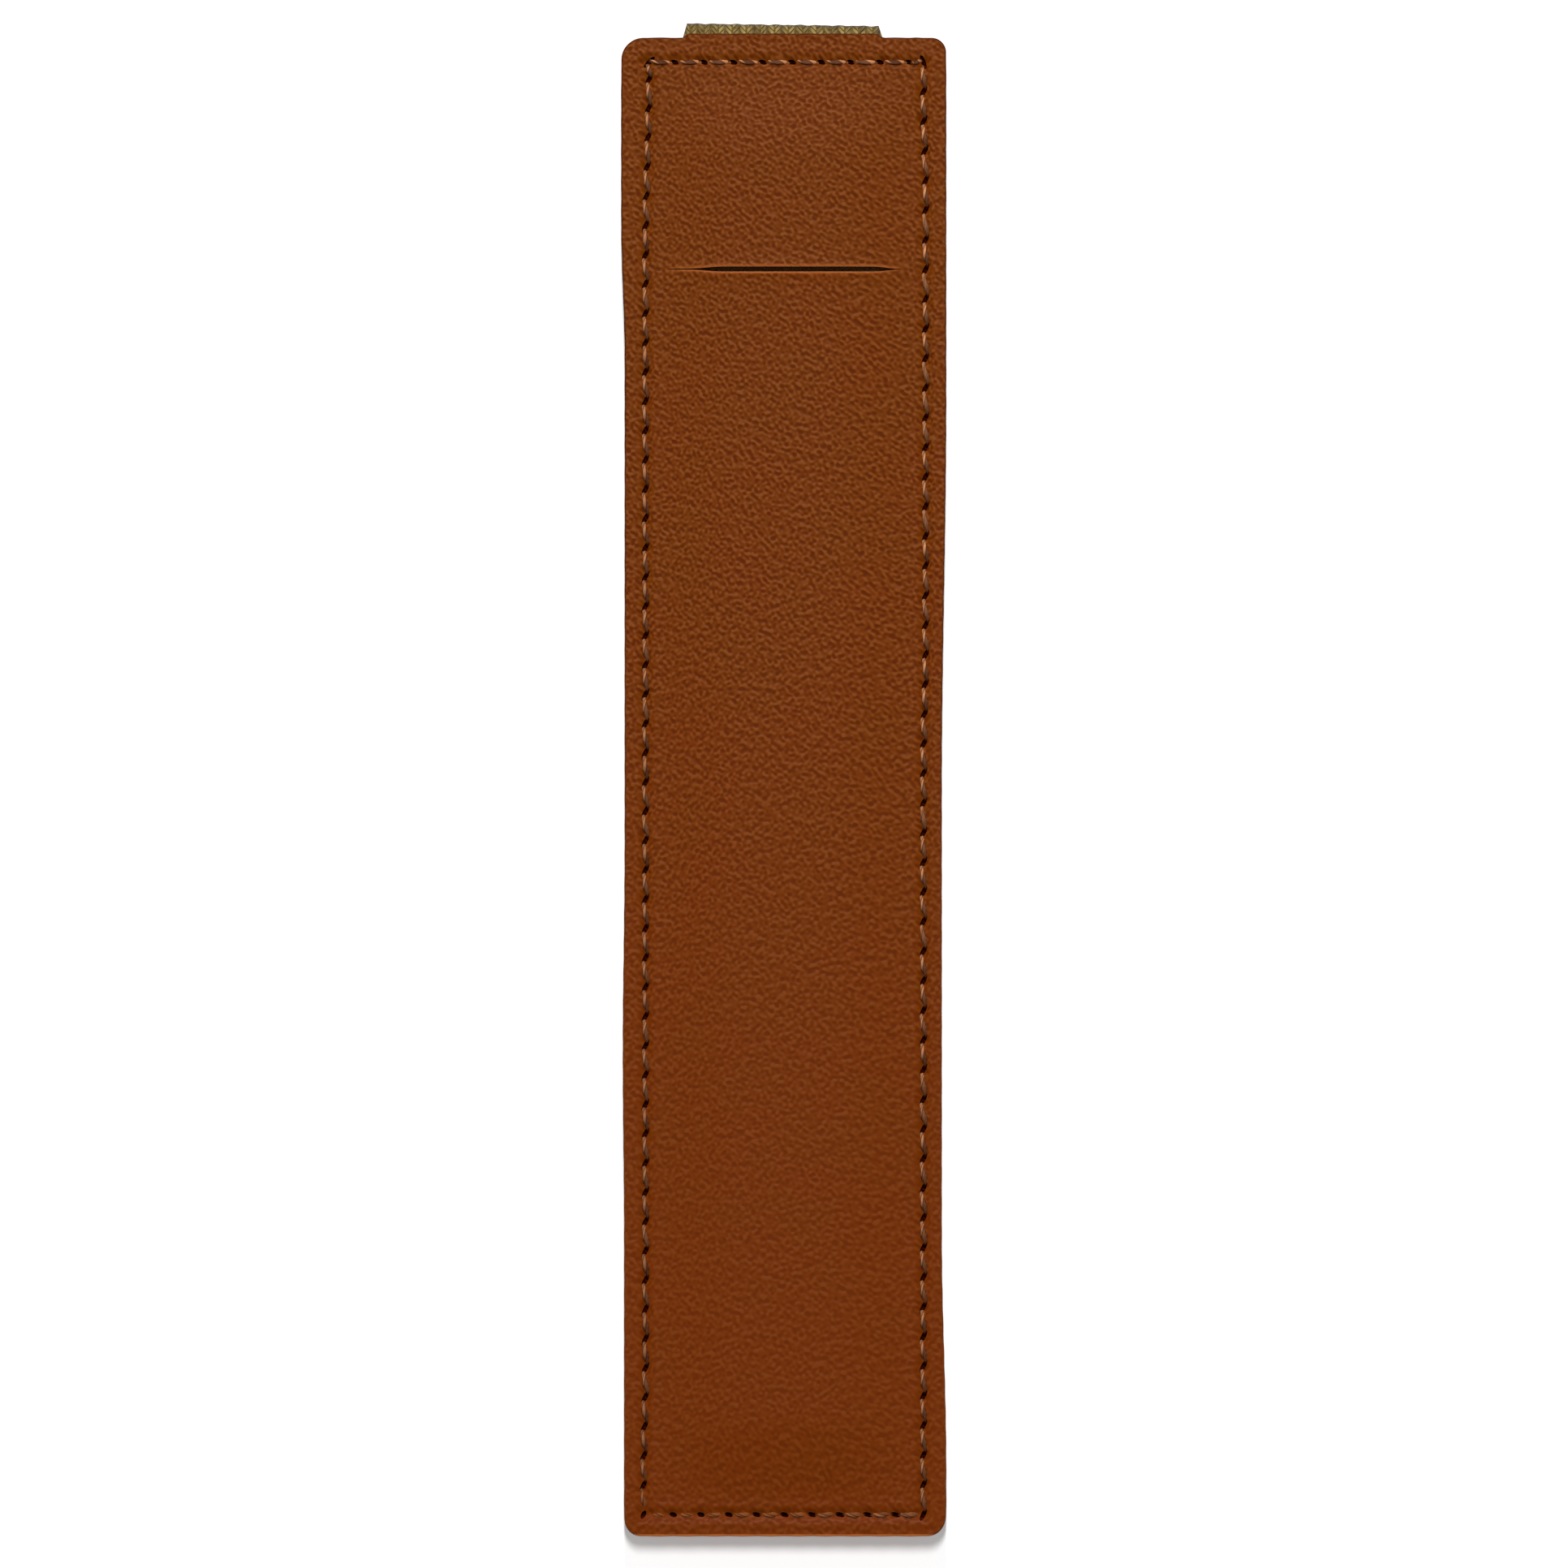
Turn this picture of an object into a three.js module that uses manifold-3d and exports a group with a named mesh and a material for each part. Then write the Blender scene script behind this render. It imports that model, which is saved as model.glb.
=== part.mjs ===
// Pen sleeve on an elastic band: two leather panels sewn together round their edge, a slit across the front
// as the mouth of the pen pocket, and a flat strip of woven elastic sewn on behind.
// Units are millimetres. The sleeve lies on its back: +Z points out of the front panel, +Y towards the mouth
// end and +X to the right. The origin is on the resting surface, under the middle of the leather.

import * as THREE from "three";
import { mergeGeometries, mergeVertices } from "three/addons/utils/BufferGeometryUtils.js";
import Module from "manifold-3d";

const wasm = await Module();
wasm.setup();

// Leather panels
const SLEEVE_LENGTH = 154;
const SLEEVE_WIDTH = 33.2;
const SIDE_WAIST = 0.4; // how far the seam draws in each long side at half length
const TOP_LEFT_RADIUS = 2.0;
const TOP_RIGHT_RADIUS = 1.1;
const BOTTOM_RIGHT_RADIUS = 1.5;
const BOTTOM_LEFT_RADIUS = 1.3;
const LEATHER_THICKNESS = 1.2;
const EDGE_BEVEL = 0.2;
const LAYER_GAP = 0.1; // clearance between sewn layers

// Pen pocket
const POCKET_CROWN = 0.8; // how far the middle of the front stands above its sewn margin
const CROWN_FOOT = 0.3; // flat leather between the stitch channel and the foot of the crown
const CROWN_CORNER = 3; // corner radius of every level of the crown
const CROWN_FLAT = 1; // half the straight end of the flat ridge on top of the crown
const MOUTH_FROM_TOP = 23.8;
const MOUTH_SIDE_MARGIN = 2.0; // from a side row of stitches to the end of the slit
const MOUTH_GAPE = 0.35; // width of the slit at its middle

// Seam
const STITCH_INSET = 2.3; // from the edge of the leather to the row of stitches
const STITCH_PITCH = 3.0;
const STITCH_SINK = 0.25; // how deep the thread pulls its channel into the leather
const STITCH_DIP = 0.15; // how far a stitch bends into its hole before the next one starts
const THREAD_WIDTH = 0.55;
const THREAD_THICKNESS = 0.4;
const THREAD_CLEARANCE = 0.05; // between the thread and the face that it lies on
const HOLE_CLEARANCE = 0.175; // between the thread and the side of a needle hole
const CHANNEL_SIDE = 0.1; // from the side of a needle hole to the side of the channel

// Elastic band
const ELASTIC_WIDTH = 20;
const ELASTIC_THICKNESS = 1.0;
const ELASTIC_EDGE_RADIUS = 0.3;
const ELASTIC_SHIFT = -0.3; // the strip is sewn a little left of the middle
const TAB_LENGTH = 1.5; // how far the top end stands out past the leather
const TAB_TAPER = 0.4; // how much each side of the tab draws in towards its cut end
const BOTTOM_SETBACK = 0.8; // from the bottom cut end to the edge of the leather
const END_GRIP = 2.0; // how far a sewn end reaches past its row of stitches
const LEG_LENGTH = 35; // the part at each end that slopes when the run is pulled away
const STRIP_GAP = 0.1; // clearance between neighbouring lengths of the strip

// Smoothness of curves
const OUTLINE_SEGMENTS = 6;
const EDGE_SEGMENTS = 2;
const CROWN_STEPS = 4;
const CROWN_CORNER_STEPS = 3;

// Heights of the layers above the resting surface
const BACK_BOTTOM = ELASTIC_THICKNESS + LAYER_GAP;
const FRONT_BOTTOM = BACK_BOTTOM + LEATHER_THICKNESS + LAYER_GAP;
const STACK_HEIGHT = FRONT_BOTTOM + LEATHER_THICKNESS + POCKET_CROWN;

// Rows of stitches
const ROW_X = SLEEVE_WIDTH / 2 - STITCH_INSET;
const ROW_Y = SLEEVE_LENGTH / 2 - STITCH_INSET;
const NEEDLE_HOLE = THREAD_WIDTH + 2 * HOLE_CLEARANCE;
const CHANNEL_WIDTH = NEEDLE_HOLE + 2 * CHANNEL_SIDE;
const ELASTIC_SINK = THREAD_THICKNESS + 3 * THREAD_CLEARANCE; // sinks the thread below the strip's face
const ACROSS_HOLES = holePositions(ROW_X);
const ALONG_HOLES = holePositions(ROW_Y);

const LEATHER = new THREE.MeshStandardMaterial({ name: "leather", color: 0x743a14, roughness: 0.6 });
const ELASTIC = new THREE.MeshStandardMaterial({ name: "elastic", color: 0x7e6134, roughness: 0.9 });
const THREAD = new THREE.MeshStandardMaterial({ name: "thread", color: 0x8c6e41, roughness: 0.7 });

// Evenly spaced holes over a row that reaches from -half to +half.
function holePositions(half) {
  const stitches = Math.round((2 * half) / STITCH_PITCH);
  return Array.from({ length: stitches + 1 }, (_, i) => -half + (2 * half * i) / stitches);
}

function toSolid(geometry) {
  const bare = new THREE.BufferGeometry();
  bare.setAttribute("position", geometry.getAttribute("position"));
  bare.setIndex(geometry.index);
  const merged = mergeVertices(bare);
  return new wasm.Manifold(
    new wasm.Mesh({
      numProp: 3,
      vertProperties: merged.getAttribute("position").array,
      triVerts: new Uint32Array(merged.index.array),
    }),
  );
}

function toPiece(name, solid, material) {
  const mesh = solid.getMesh();
  const indexed = new THREE.BufferGeometry();
  indexed.setAttribute("position", new THREE.BufferAttribute(mesh.vertProperties, 3));
  indexed.setIndex(new THREE.BufferAttribute(mesh.triVerts, 1));
  const faceted = indexed.toNonIndexed();
  faceted.computeVertexNormals();
  const piece = new THREE.Mesh(faceted, material);
  piece.name = name;
  return piece;
}

// A plain upright extrusion of a flat outline between two heights.
function upright(outline, bottom, top) {
  const block = new THREE.ExtrudeGeometry(outline, {
    depth: top - bottom,
    bevelEnabled: false,
    curveSegments: OUTLINE_SEGMENTS,
  });
  block.translate(0, 0, bottom);
  return toSolid(block);
}

function rectangle(halfX, halfY) {
  return [
    new THREE.Vector2(-halfX, -halfY),
    new THREE.Vector2(halfX, -halfY),
    new THREE.Vector2(halfX, halfY),
    new THREE.Vector2(-halfX, halfY),
  ];
}

// The outline of both panels: straight ends, four rounded corners and slightly waisted long sides.
function panelOutline() {
  const right = SLEEVE_WIDTH / 2;
  const top = SLEEVE_LENGTH / 2;
  const waist = right - 2 * SIDE_WAIST; // a quadratic curve reaches halfway to its control point
  const quarter = Math.PI / 2;
  const outline = new THREE.Shape();
  const roundCorner = (signX, signY, radius, startAngle) => {
    const x = signX * (right - radius);
    const y = signY * (top - radius);
    outline.absarc(x, y, radius, startAngle, startAngle + quarter);
  };
  roundCorner(1, -1, BOTTOM_RIGHT_RADIUS, -quarter);
  outline.quadraticCurveTo(waist, 0, right, top - TOP_RIGHT_RADIUS);
  roundCorner(1, 1, TOP_RIGHT_RADIUS, 0);
  roundCorner(-1, 1, TOP_LEFT_RADIUS, quarter);
  outline.quadraticCurveTo(-waist, 0, -right, -top + BOTTOM_LEFT_RADIUS);
  roundCorner(-1, -1, BOTTOM_LEFT_RADIUS, 2 * quarter);
  return outline;
}

// A leather sheet with bevelled edges and its lower face at height 0.
function leatherSheet() {
  const sheet = new THREE.ExtrudeGeometry(panelOutline(), {
    depth: LEATHER_THICKNESS - 2 * EDGE_BEVEL,
    bevelThickness: EDGE_BEVEL,
    bevelSize: EDGE_BEVEL,
    bevelOffset: -EDGE_BEVEL,
    bevelSegments: 1,
    curveSegments: OUTLINE_SEGMENTS,
  });
  sheet.translate(0, 0, EDGE_BEVEL);
  return toSolid(sheet);
}

// The channel that the stitches pull in, as a closed ring between two heights.
function stitchChannel(bottom, top) {
  const ring = new THREE.Shape(rectangle(ROW_X + CHANNEL_WIDTH / 2, ROW_Y + CHANNEL_WIDTH / 2));
  ring.holes.push(new THREE.Path(rectangle(ROW_X - CHANNEL_WIDTH / 2, ROW_Y - CHANNEL_WIDTH / 2)));
  return upright(ring, bottom, top);
}

// Every needle hole of the seam, as one set of upright prisms through the whole stack.
function needleHoles() {
  const holes = [];
  const addHole = (x, y) => {
    const hole = new THREE.BoxGeometry(NEEDLE_HOLE, NEEDLE_HOLE, 4 * STACK_HEIGHT);
    hole.translate(x, y, 0);
    holes.push(hole);
  };
  for (const x of ACROSS_HOLES) {
    addHole(x, -ROW_Y);
    addHole(x, ROW_Y);
  }
  for (const y of ALONG_HOLES.slice(1, -1)) {
    addHole(-ROW_X, y);
    addHole(ROW_X, y);
  }
  return toSolid(mergeGeometries(holes));
}

// One level of the crown: a rounded rectangle, drawn in by a share of the way from its foot to its ridge.
function crownRing(share, height) {
  const footX = ROW_X - CHANNEL_WIDTH / 2 - CROWN_FOOT;
  const footY = ROW_Y - CHANNEL_WIDTH / 2 - CROWN_FOOT;
  const drawIn = share * (footX - CROWN_CORNER - CROWN_FLAT);
  const cornerX = footX - drawIn - CROWN_CORNER;
  const cornerY = footY - drawIn - CROWN_CORNER;
  const ring = [];
  [[1, 1], [-1, 1], [-1, -1], [1, -1]].forEach(([signX, signY], corner) => {
    for (let step = 0; step <= CROWN_CORNER_STEPS; step += 1) {
      const angle = ((corner + step / CROWN_CORNER_STEPS) * Math.PI) / 2;
      const x = signX * cornerX + CROWN_CORNER * Math.cos(angle);
      const y = signY * cornerY + CROWN_CORNER * Math.sin(angle);
      ring.push(new THREE.Vector3(x, y, height));
    }
  });
  return ring;
}

// A closed solid through rings of equal point count, listed from bottom to top.
function loft(rings) {
  const count = rings[0].length;
  const indices = [];
  for (let level = 0; level + 1 < rings.length; level += 1) {
    const low = level * count;
    const high = low + count;
    for (let i = 0; i < count; i += 1) {
      const next = (i + 1) % count;
      indices.push(low + i, low + next, high + next);
      indices.push(low + i, high + next, high + i);
    }
  }
  const topStart = (rings.length - 1) * count;
  for (const [a, b, c] of THREE.ShapeUtils.triangulateShape(rings[0], [])) {
    indices.push(a, c, b);
    indices.push(topStart + a, topStart + b, topStart + c);
  }
  const geometry = new THREE.BufferGeometry().setFromPoints(rings.flat());
  geometry.setIndex(indices);
  return toSolid(geometry);
}

// The low swell of the pocket front, standing on a face at the given height.
function pocketCrown(base) {
  const rings = [crownRing(0, base - LEATHER_THICKNESS / 2)];
  for (let step = 0; step <= CROWN_STEPS; step += 1) {
    const share = step / CROWN_STEPS;
    rings.push(crownRing(share, base + POCKET_CROWN * Math.sin((share * Math.PI) / 2)));
  }
  return loft(rings);
}

// The slit of the pocket, widest at its middle and closed at both ends.
function pocketMouth() {
  const y = SLEEVE_LENGTH / 2 - MOUTH_FROM_TOP;
  const half = ROW_X - MOUTH_SIDE_MARGIN;
  const lens = new THREE.Shape();
  lens.moveTo(-half, y);
  lens.quadraticCurveTo(0, y - MOUTH_GAPE, half, y);
  lens.quadraticCurveTo(0, y + MOUTH_GAPE, -half, y);
  return upright(lens, -STACK_HEIGHT, STACK_HEIGHT);
}

// The height of the bobbin thread's seat at the ends of a stitch, and where it bends over the elastic's edges,
// as [along, height] pairs. Heights are above the lower face of the back panel.
function seatOverElastic(from, to, seat) {
  const low = ELASTIC_SHIFT - ELASTIC_WIDTH / 2 - THREAD_CLEARANCE;
  const high = ELASTIC_SHIFT + ELASTIC_WIDTH / 2 + THREAD_CLEARANCE;
  const elasticSeat = ELASTIC_SINK - THREAD_CLEARANCE - BACK_BOTTOM;
  const bends = [low, high].filter((along) => along > from && along < to);
  const heightAt = (along) => (along > low && along < high ? elasticSeat : seat);
  return [[from, heightAt(from)], ...bends.map((along) => [along, elasticSeat]), [to, heightAt(to)]];
}

function plainSeat(from, to, seat) {
  return [[from, seat], [to, seat]];
}

// One row of a thread, drawn from its side: a stitch over the face between each two holes and a peg into each
// hole. Outward is +1 for a thread on the front and -1 for one on the back.
function threadRow(holes, { seat, peg, outward }, seatBetween) {
  const pegReach = NEEDLE_HOLE / 2 - 2 * THREAD_CLEARANCE;
  const inner = [];
  const outer = [];
  const addHole = (along) => {
    inner.push(new THREE.Vector2(along, peg));
    outer.push(new THREE.Vector2(along, seat - outward * STITCH_DIP));
  };
  addHole(holes[0] - THREAD_WIDTH / 2);
  for (let i = 1; i < holes.length; i += 1) {
    for (const [along, height] of seatBetween(holes[i - 1] + pegReach, holes[i] - pegReach, seat)) {
      inner.push(new THREE.Vector2(along, height));
      outer.push(new THREE.Vector2(along, height + outward * THREAD_THICKNESS));
    }
    const isLast = i + 1 === holes.length;
    addHole(isLast ? holes[i] + THREAD_WIDTH / 2 : holes[i]);
  }
  const profile = new THREE.Shape([...inner, ...outer.reverse()]);
  const row = new THREE.ExtrudeGeometry(profile, { depth: THREAD_WIDTH, bevelEnabled: false });
  row.rotateX(Math.PI / 2);
  row.translate(0, THREAD_WIDTH / 2, 0);
  return row;
}

// A thread that runs round all four sides of the seam as one closed strand.
function seamThread(thread, endSeat) {
  const across = threadRow(ACROSS_HOLES, thread, endSeat);
  const along = threadRow(ALONG_HOLES, thread, plainSeat);
  along.rotateZ(Math.PI / 2);
  return wasm.Manifold.union([
    toSolid(across.clone().translate(0, ROW_Y, 0)),
    toSolid(across.clone().translate(0, -ROW_Y, 0)),
    toSolid(along.clone().translate(ROW_X, 0, 0)),
    toSolid(along.clone().translate(-ROW_X, 0, 0)),
  ]);
}

// A length of the elastic strip between two places along the sleeve.
function stripLength(from, to) {
  const outerX = ELASTIC_WIDTH / 2 - ELASTIC_EDGE_RADIUS;
  const upperZ = ELASTIC_THICKNESS - ELASTIC_EDGE_RADIUS;
  const quarter = Math.PI / 2;
  const section = new THREE.Shape();
  section.absarc(outerX, ELASTIC_EDGE_RADIUS, ELASTIC_EDGE_RADIUS, -quarter, 0);
  section.absarc(outerX, upperZ, ELASTIC_EDGE_RADIUS, 0, quarter);
  section.absarc(-outerX, upperZ, ELASTIC_EDGE_RADIUS, quarter, 2 * quarter);
  section.absarc(-outerX, ELASTIC_EDGE_RADIUS, ELASTIC_EDGE_RADIUS, 2 * quarter, 3 * quarter);
  const strip = new THREE.ExtrudeGeometry(section, {
    depth: to - from,
    bevelEnabled: false,
    curveSegments: EDGE_SEGMENTS,
  });
  strip.rotateX(Math.PI / 2);
  strip.translate(ELASTIC_SHIFT, to, 0);
  return toSolid(strip);
}

// What is trimmed off one side of the tab, so that it narrows towards its cut end.
function tabTrim(side) {
  const edge = ELASTIC_SHIFT + (side * ELASTIC_WIDTH) / 2;
  const start = SLEEVE_LENGTH / 2;
  const beyond = start + 2 * TAB_LENGTH;
  const wedge = new THREE.Shape([
    new THREE.Vector2(edge, start),
    new THREE.Vector2(edge + side * TAB_TAPER, start),
    new THREE.Vector2(edge + side * TAB_TAPER, beyond),
    new THREE.Vector2(edge - 2 * side * TAB_TAPER, beyond),
  ]);
  return upright(wedge, -ELASTIC_THICKNESS, 2 * ELASTIC_THICKNESS);
}

const holes = needleHoles();

// Front: the panel and the thread that shows on it, both standing on the height of the panel's lower face
const frontPanel = leatherSheet()
  .add(pocketCrown(LEATHER_THICKNESS))
  .subtract(pocketCrown(0))
  .subtract(stitchChannel(LEATHER_THICKNESS - STITCH_SINK, STACK_HEIGHT))
  .subtract(holes)
  .subtract(pocketMouth());
const needleThread = seamThread(
  { seat: LEATHER_THICKNESS - STITCH_SINK + THREAD_CLEARANCE, peg: THREAD_CLEARANCE, outward: 1 },
  plainSeat,
);
const front = new THREE.Group();
front.name = "front";
front.position.z = FRONT_BOTTOM;
front.add(toPiece("front_panel", frontPanel, LEATHER), toPiece("needle_thread", needleThread, THREAD));

// Back: the panel and the thread that meets the other one inside the holes
const backPanel = leatherSheet().subtract(stitchChannel(-STACK_HEIGHT, STITCH_SINK)).subtract(holes);
const bobbinThread = seamThread(
  { seat: STITCH_SINK - THREAD_CLEARANCE, peg: LEATHER_THICKNESS - THREAD_CLEARANCE, outward: -1 },
  seatOverElastic,
);
const back = new THREE.Group();
back.name = "back";
back.position.z = BACK_BOTTOM;
back.add(toPiece("back_panel", backPanel, LEATHER), toPiece("bobbin_thread", bobbinThread, THREAD));

// Elastic band: one strip in five lengths, so that its free run can move away from the back panel
const elasticChannel = stitchChannel(-ELASTIC_THICKNESS, ELASTIC_SINK);
const topGripEnd = ROW_Y - END_GRIP;
const bottomGripEnd = -ROW_Y + END_GRIP;
const upperLegEnd = topGripEnd - STRIP_GAP - LEG_LENGTH;
const lowerLegEnd = bottomGripEnd + STRIP_GAP + LEG_LENGTH;
const topEnd = stripLength(topGripEnd, SLEEVE_LENGTH / 2 + TAB_LENGTH)
  .subtract(tabTrim(-1))
  .subtract(tabTrim(1))
  .subtract(elasticChannel)
  .subtract(holes);
const bottomEnd = stripLength(-SLEEVE_LENGTH / 2 + BOTTOM_SETBACK, bottomGripEnd)
  .subtract(elasticChannel)
  .subtract(holes);
const upperLeg = stripLength(upperLegEnd, topGripEnd - STRIP_GAP);
const lowerLeg = stripLength(bottomGripEnd + STRIP_GAP, lowerLegEnd);
const run = stripLength(lowerLegEnd + STRIP_GAP, upperLegEnd - STRIP_GAP);
const band = new THREE.Group();
band.name = "elastic_band";
band.add(
  toPiece("elastic_top_end", topEnd, ELASTIC),
  toPiece("elastic_upper_leg", upperLeg, ELASTIC),
  toPiece("elastic_run", run, ELASTIC),
  toPiece("elastic_lower_leg", lowerLeg, ELASTIC),
  toPiece("elastic_bottom_end", bottomEnd, ELASTIC),
);

const penSleeve = new THREE.Group();
penSleeve.name = "pen_sleeve";
penSleeve.add(front, back, band);

export default penSleeve;
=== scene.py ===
"""Leather pen sleeve on an elastic band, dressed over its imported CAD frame.

A front and a back panel of pebbled leather are sewn together round their whole edge. A slit across the
front is the mouth of the pen pocket. A strip of woven elastic lies behind the back panel, and the end rows
of the seam hold it. All sizes are metres in the frame's own axes: +Y runs along the sleeve to its mouth end,
+Z comes out of the front panel, and the lower face of the elastic lies at height 0.
"""

import logging
import math
from collections.abc import Callable
from dataclasses import dataclass, field
from enum import Enum
from functools import reduce

import bpy
import numpy as np
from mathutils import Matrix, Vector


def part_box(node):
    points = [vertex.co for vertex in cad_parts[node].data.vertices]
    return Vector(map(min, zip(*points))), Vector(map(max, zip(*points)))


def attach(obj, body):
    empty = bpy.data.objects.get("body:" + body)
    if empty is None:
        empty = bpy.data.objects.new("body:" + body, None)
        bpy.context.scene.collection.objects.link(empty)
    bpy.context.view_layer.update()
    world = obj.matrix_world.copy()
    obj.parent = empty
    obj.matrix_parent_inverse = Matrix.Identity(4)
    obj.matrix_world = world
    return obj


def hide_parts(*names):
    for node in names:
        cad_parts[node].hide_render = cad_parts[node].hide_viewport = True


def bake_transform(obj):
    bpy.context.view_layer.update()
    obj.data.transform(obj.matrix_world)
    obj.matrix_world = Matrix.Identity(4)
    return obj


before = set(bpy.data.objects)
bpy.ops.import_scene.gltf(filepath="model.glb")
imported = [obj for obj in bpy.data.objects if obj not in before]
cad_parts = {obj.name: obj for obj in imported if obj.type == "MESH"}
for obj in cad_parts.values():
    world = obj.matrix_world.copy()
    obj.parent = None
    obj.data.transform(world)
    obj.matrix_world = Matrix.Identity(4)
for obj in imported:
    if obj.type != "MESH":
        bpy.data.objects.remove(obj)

LOG = logging.getLogger("pen_sleeve")
MM = 0.001
FULL_TURN = 2 * math.pi
SHARP_ANGLE = math.radians(50)
WANDER_SEED = 3
SHADE_SEED = 7
WHITE = (1.0, 1.0, 1.0, 1.0)

Grid = np.ndarray
Colour = tuple[float, float, float, float]
Plan = Callable[[float], tuple[Grid, Grid]]
Height = Callable[[Grid, Grid], Grid]


class Side(Enum):
    """The two outer sides of the sleeve, by the direction that each one faces along Z."""

    FRONT = 1
    BACK = -1


class End(Enum):
    """The two ends of the sleeve, by their direction along Y."""

    MOUTH = 1
    FOOT = -1


class SheetFace(Enum):
    """The kinds of face on a thin sheet, by material slot."""

    UPPER = 0
    RIM = 1
    LOWER = 2
    CUT = 3


def linear_level(level: int) -> float:
    """Turn one screen level of 0 to 255 into linear light."""
    share = level / 255
    return share / 12.92 if share <= 0.04045 else ((share + 0.055) / 1.055) ** 2.4


def screen_colour(red: int, green: int, blue: int) -> Colour:
    """Turn a screen colour of 0 to 255 into the linear colour that a shader takes."""
    return (linear_level(red), linear_level(green), linear_level(blue), 1.0)


def smooth_step(low: float, high: float, value: Grid) -> Grid:
    """Rise from 0 at low to 1 at high, level at both ends."""
    share = np.clip((value - low) / (high - low), 0.0, 1.0)
    return share * share * (3 - 2 * share)


def plateau(value: Grid, low: float, low_full: float, high_full: float, high: float) -> Grid:
    """Rise from 0 at low to 1 at low_full, and fall from 1 at high_full to 0 at high."""
    return smooth_step(low, low_full, value) * smooth_step(-high, -high_full, -value)


def bell(value: Grid, width: float) -> Grid:
    """A bell curve of height 1 that falls to about a third at width."""
    return np.exp(-((value / width) ** 2))


def graded(stops: list[float], steps: list[float]) -> Grid:
    """Place grid lines at a step of their own in each interval.

    Args:
        stops: where the intervals begin, and where the last one ends
        steps: the step wanted in each interval

    Returns:
        the lines, from the first stop up to and without the last
    """
    spans = []
    for begin, end, step in zip(stops[:-1], stops[1:], steps):
        count = max(1, round((end - begin) / step))
        spans.append(np.linspace(begin, end, count + 1)[:-1])
    return np.concatenate(spans)


class NodeBench:
    """Adds and joins the nodes of one tree, for a shader or for geometry."""

    def __init__(self, tree: bpy.types.NodeTree) -> None:
        """Start with the tree emptied."""
        self.tree = tree
        tree.nodes.clear()

    def add(self, kind: str, values: dict | None = None, **settings: object) -> bpy.types.Node:
        """Add a node.

        Args:
            kind: Blender's name for the type of node
            values: for inputs by name or number, a value to set or an output to join
            settings: properties of the node itself

        Returns:
            the new node
        """
        node = self.tree.nodes.new(kind)
        for name, value in settings.items():
            setattr(node, name, value)
        for key, value in (values or {}).items():
            self.feed(node.inputs[key], value)
        return node

    def feed(self, socket: bpy.types.NodeSocket, value: object) -> None:
        """Join an output to an input, or set the input's own value.

        Args:
            socket: the input
            value: the output or the plain value
        """
        if isinstance(value, bpy.types.NodeSocket):
            self.tree.links.new(value, socket)
        else:
            socket.default_value = value

    def math(self, operation: str, first: object, second: object = 0.0) -> bpy.types.NodeSocket:
        """Add a sum, product or other operation on two numbers and give its output."""
        return self.add("ShaderNodeMath", {0: first, 1: second}, operation=operation).outputs[0]

    def product(self, *factors: object) -> bpy.types.NodeSocket:
        """Multiply numbers, one after another, and give the output."""
        return reduce(lambda first, second: self.math("MULTIPLY", first, second), factors)

    def split(self, vector: bpy.types.NodeSocket) -> bpy.types.NodeOutputs:
        """Split a vector and give its outputs, X, Y and Z."""
        return self.add("ShaderNodeSeparateXYZ", {0: vector}).outputs

    def vector(self, x: object = 0.0, y: object = 0.0, z: object = 0.0) -> bpy.types.NodeSocket:
        """Join three numbers into a vector and give the output."""
        return self.add("ShaderNodeCombineXYZ", {0: x, 1: y, 2: z}).outputs[0]

    def attribute(self, name: str) -> bpy.types.NodeSocket:
        """Read, in a shader, the number that a mesh carries under a name and give the output."""
        return self.add("ShaderNodeAttribute", attribute_name=name).outputs["Fac"]

    def bump(self, strength: float, distance: object, height: object) -> bpy.types.NodeSocket:
        """Turn a height into a normal and give the output."""
        values = {"Strength": strength, "Distance": distance, "Height": height}
        return self.add("ShaderNodeBump", values).outputs[0]

    def mix(self, share: object, first: object, second: object) -> bpy.types.NodeSocket:
        """Mix two colours by a share of the second and give the output."""
        node = self.add("ShaderNodeMix", {0: share, 6: first, 7: second}, data_type="RGBA")
        return node.outputs[2]

    def remap(
        self, value: object, low: float, high: float, to_low: float, to_high: float
    ) -> bpy.types.NodeSocket:
        """Stretch a span of values onto another, smoothly and without overshoot.

        Args:
            value: the output or plain number to stretch
            low: where the span begins
            high: where it ends
            to_low: what its beginning becomes
            to_high: what its end becomes

        Returns:
            the stretched output
        """
        spans = {1: low, 2: high, 3: to_low, 4: to_high}
        node = self.add("ShaderNodeMapRange", {0: value, **spans}, interpolation_type="SMOOTHSTEP")
        return node.outputs[0]

    def end_material(self, colour: object, roughness: object, specular: object, normal: object) -> None:
        """End a material with one Principled surface.

        Args:
            colour: its colour
            roughness: how matt it is
            specular: how much it shines
            normal: its bumped normal
        """
        values = {
            "Base Color": colour,
            "Roughness": roughness,
            "Specular IOR Level": specular,
            "Normal": normal,
        }
        surface = self.add("ShaderNodeBsdfPrincipled", values)
        self.add("ShaderNodeOutputMaterial", {"Surface": surface.outputs[0]})


def new_group(name: str, kind: str, inputs: dict[str, str], outputs: dict[str, str]) -> bpy.types.NodeTree:
    """Make an empty node group.

    Args:
        name: the group's name
        kind: its tree type
        inputs: each input's name and socket type
        outputs: each output's name and socket type

    Returns:
        the group, with its sockets and no nodes
    """
    tree = bpy.data.node_groups.new(name, kind)
    for label, socket_type in inputs.items():
        tree.interface.new_socket(label, in_out="INPUT", socket_type=socket_type)
    for label, socket_type in outputs.items():
        tree.interface.new_socket(label, in_out="OUTPUT", socket_type=socket_type)
    return tree


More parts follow.
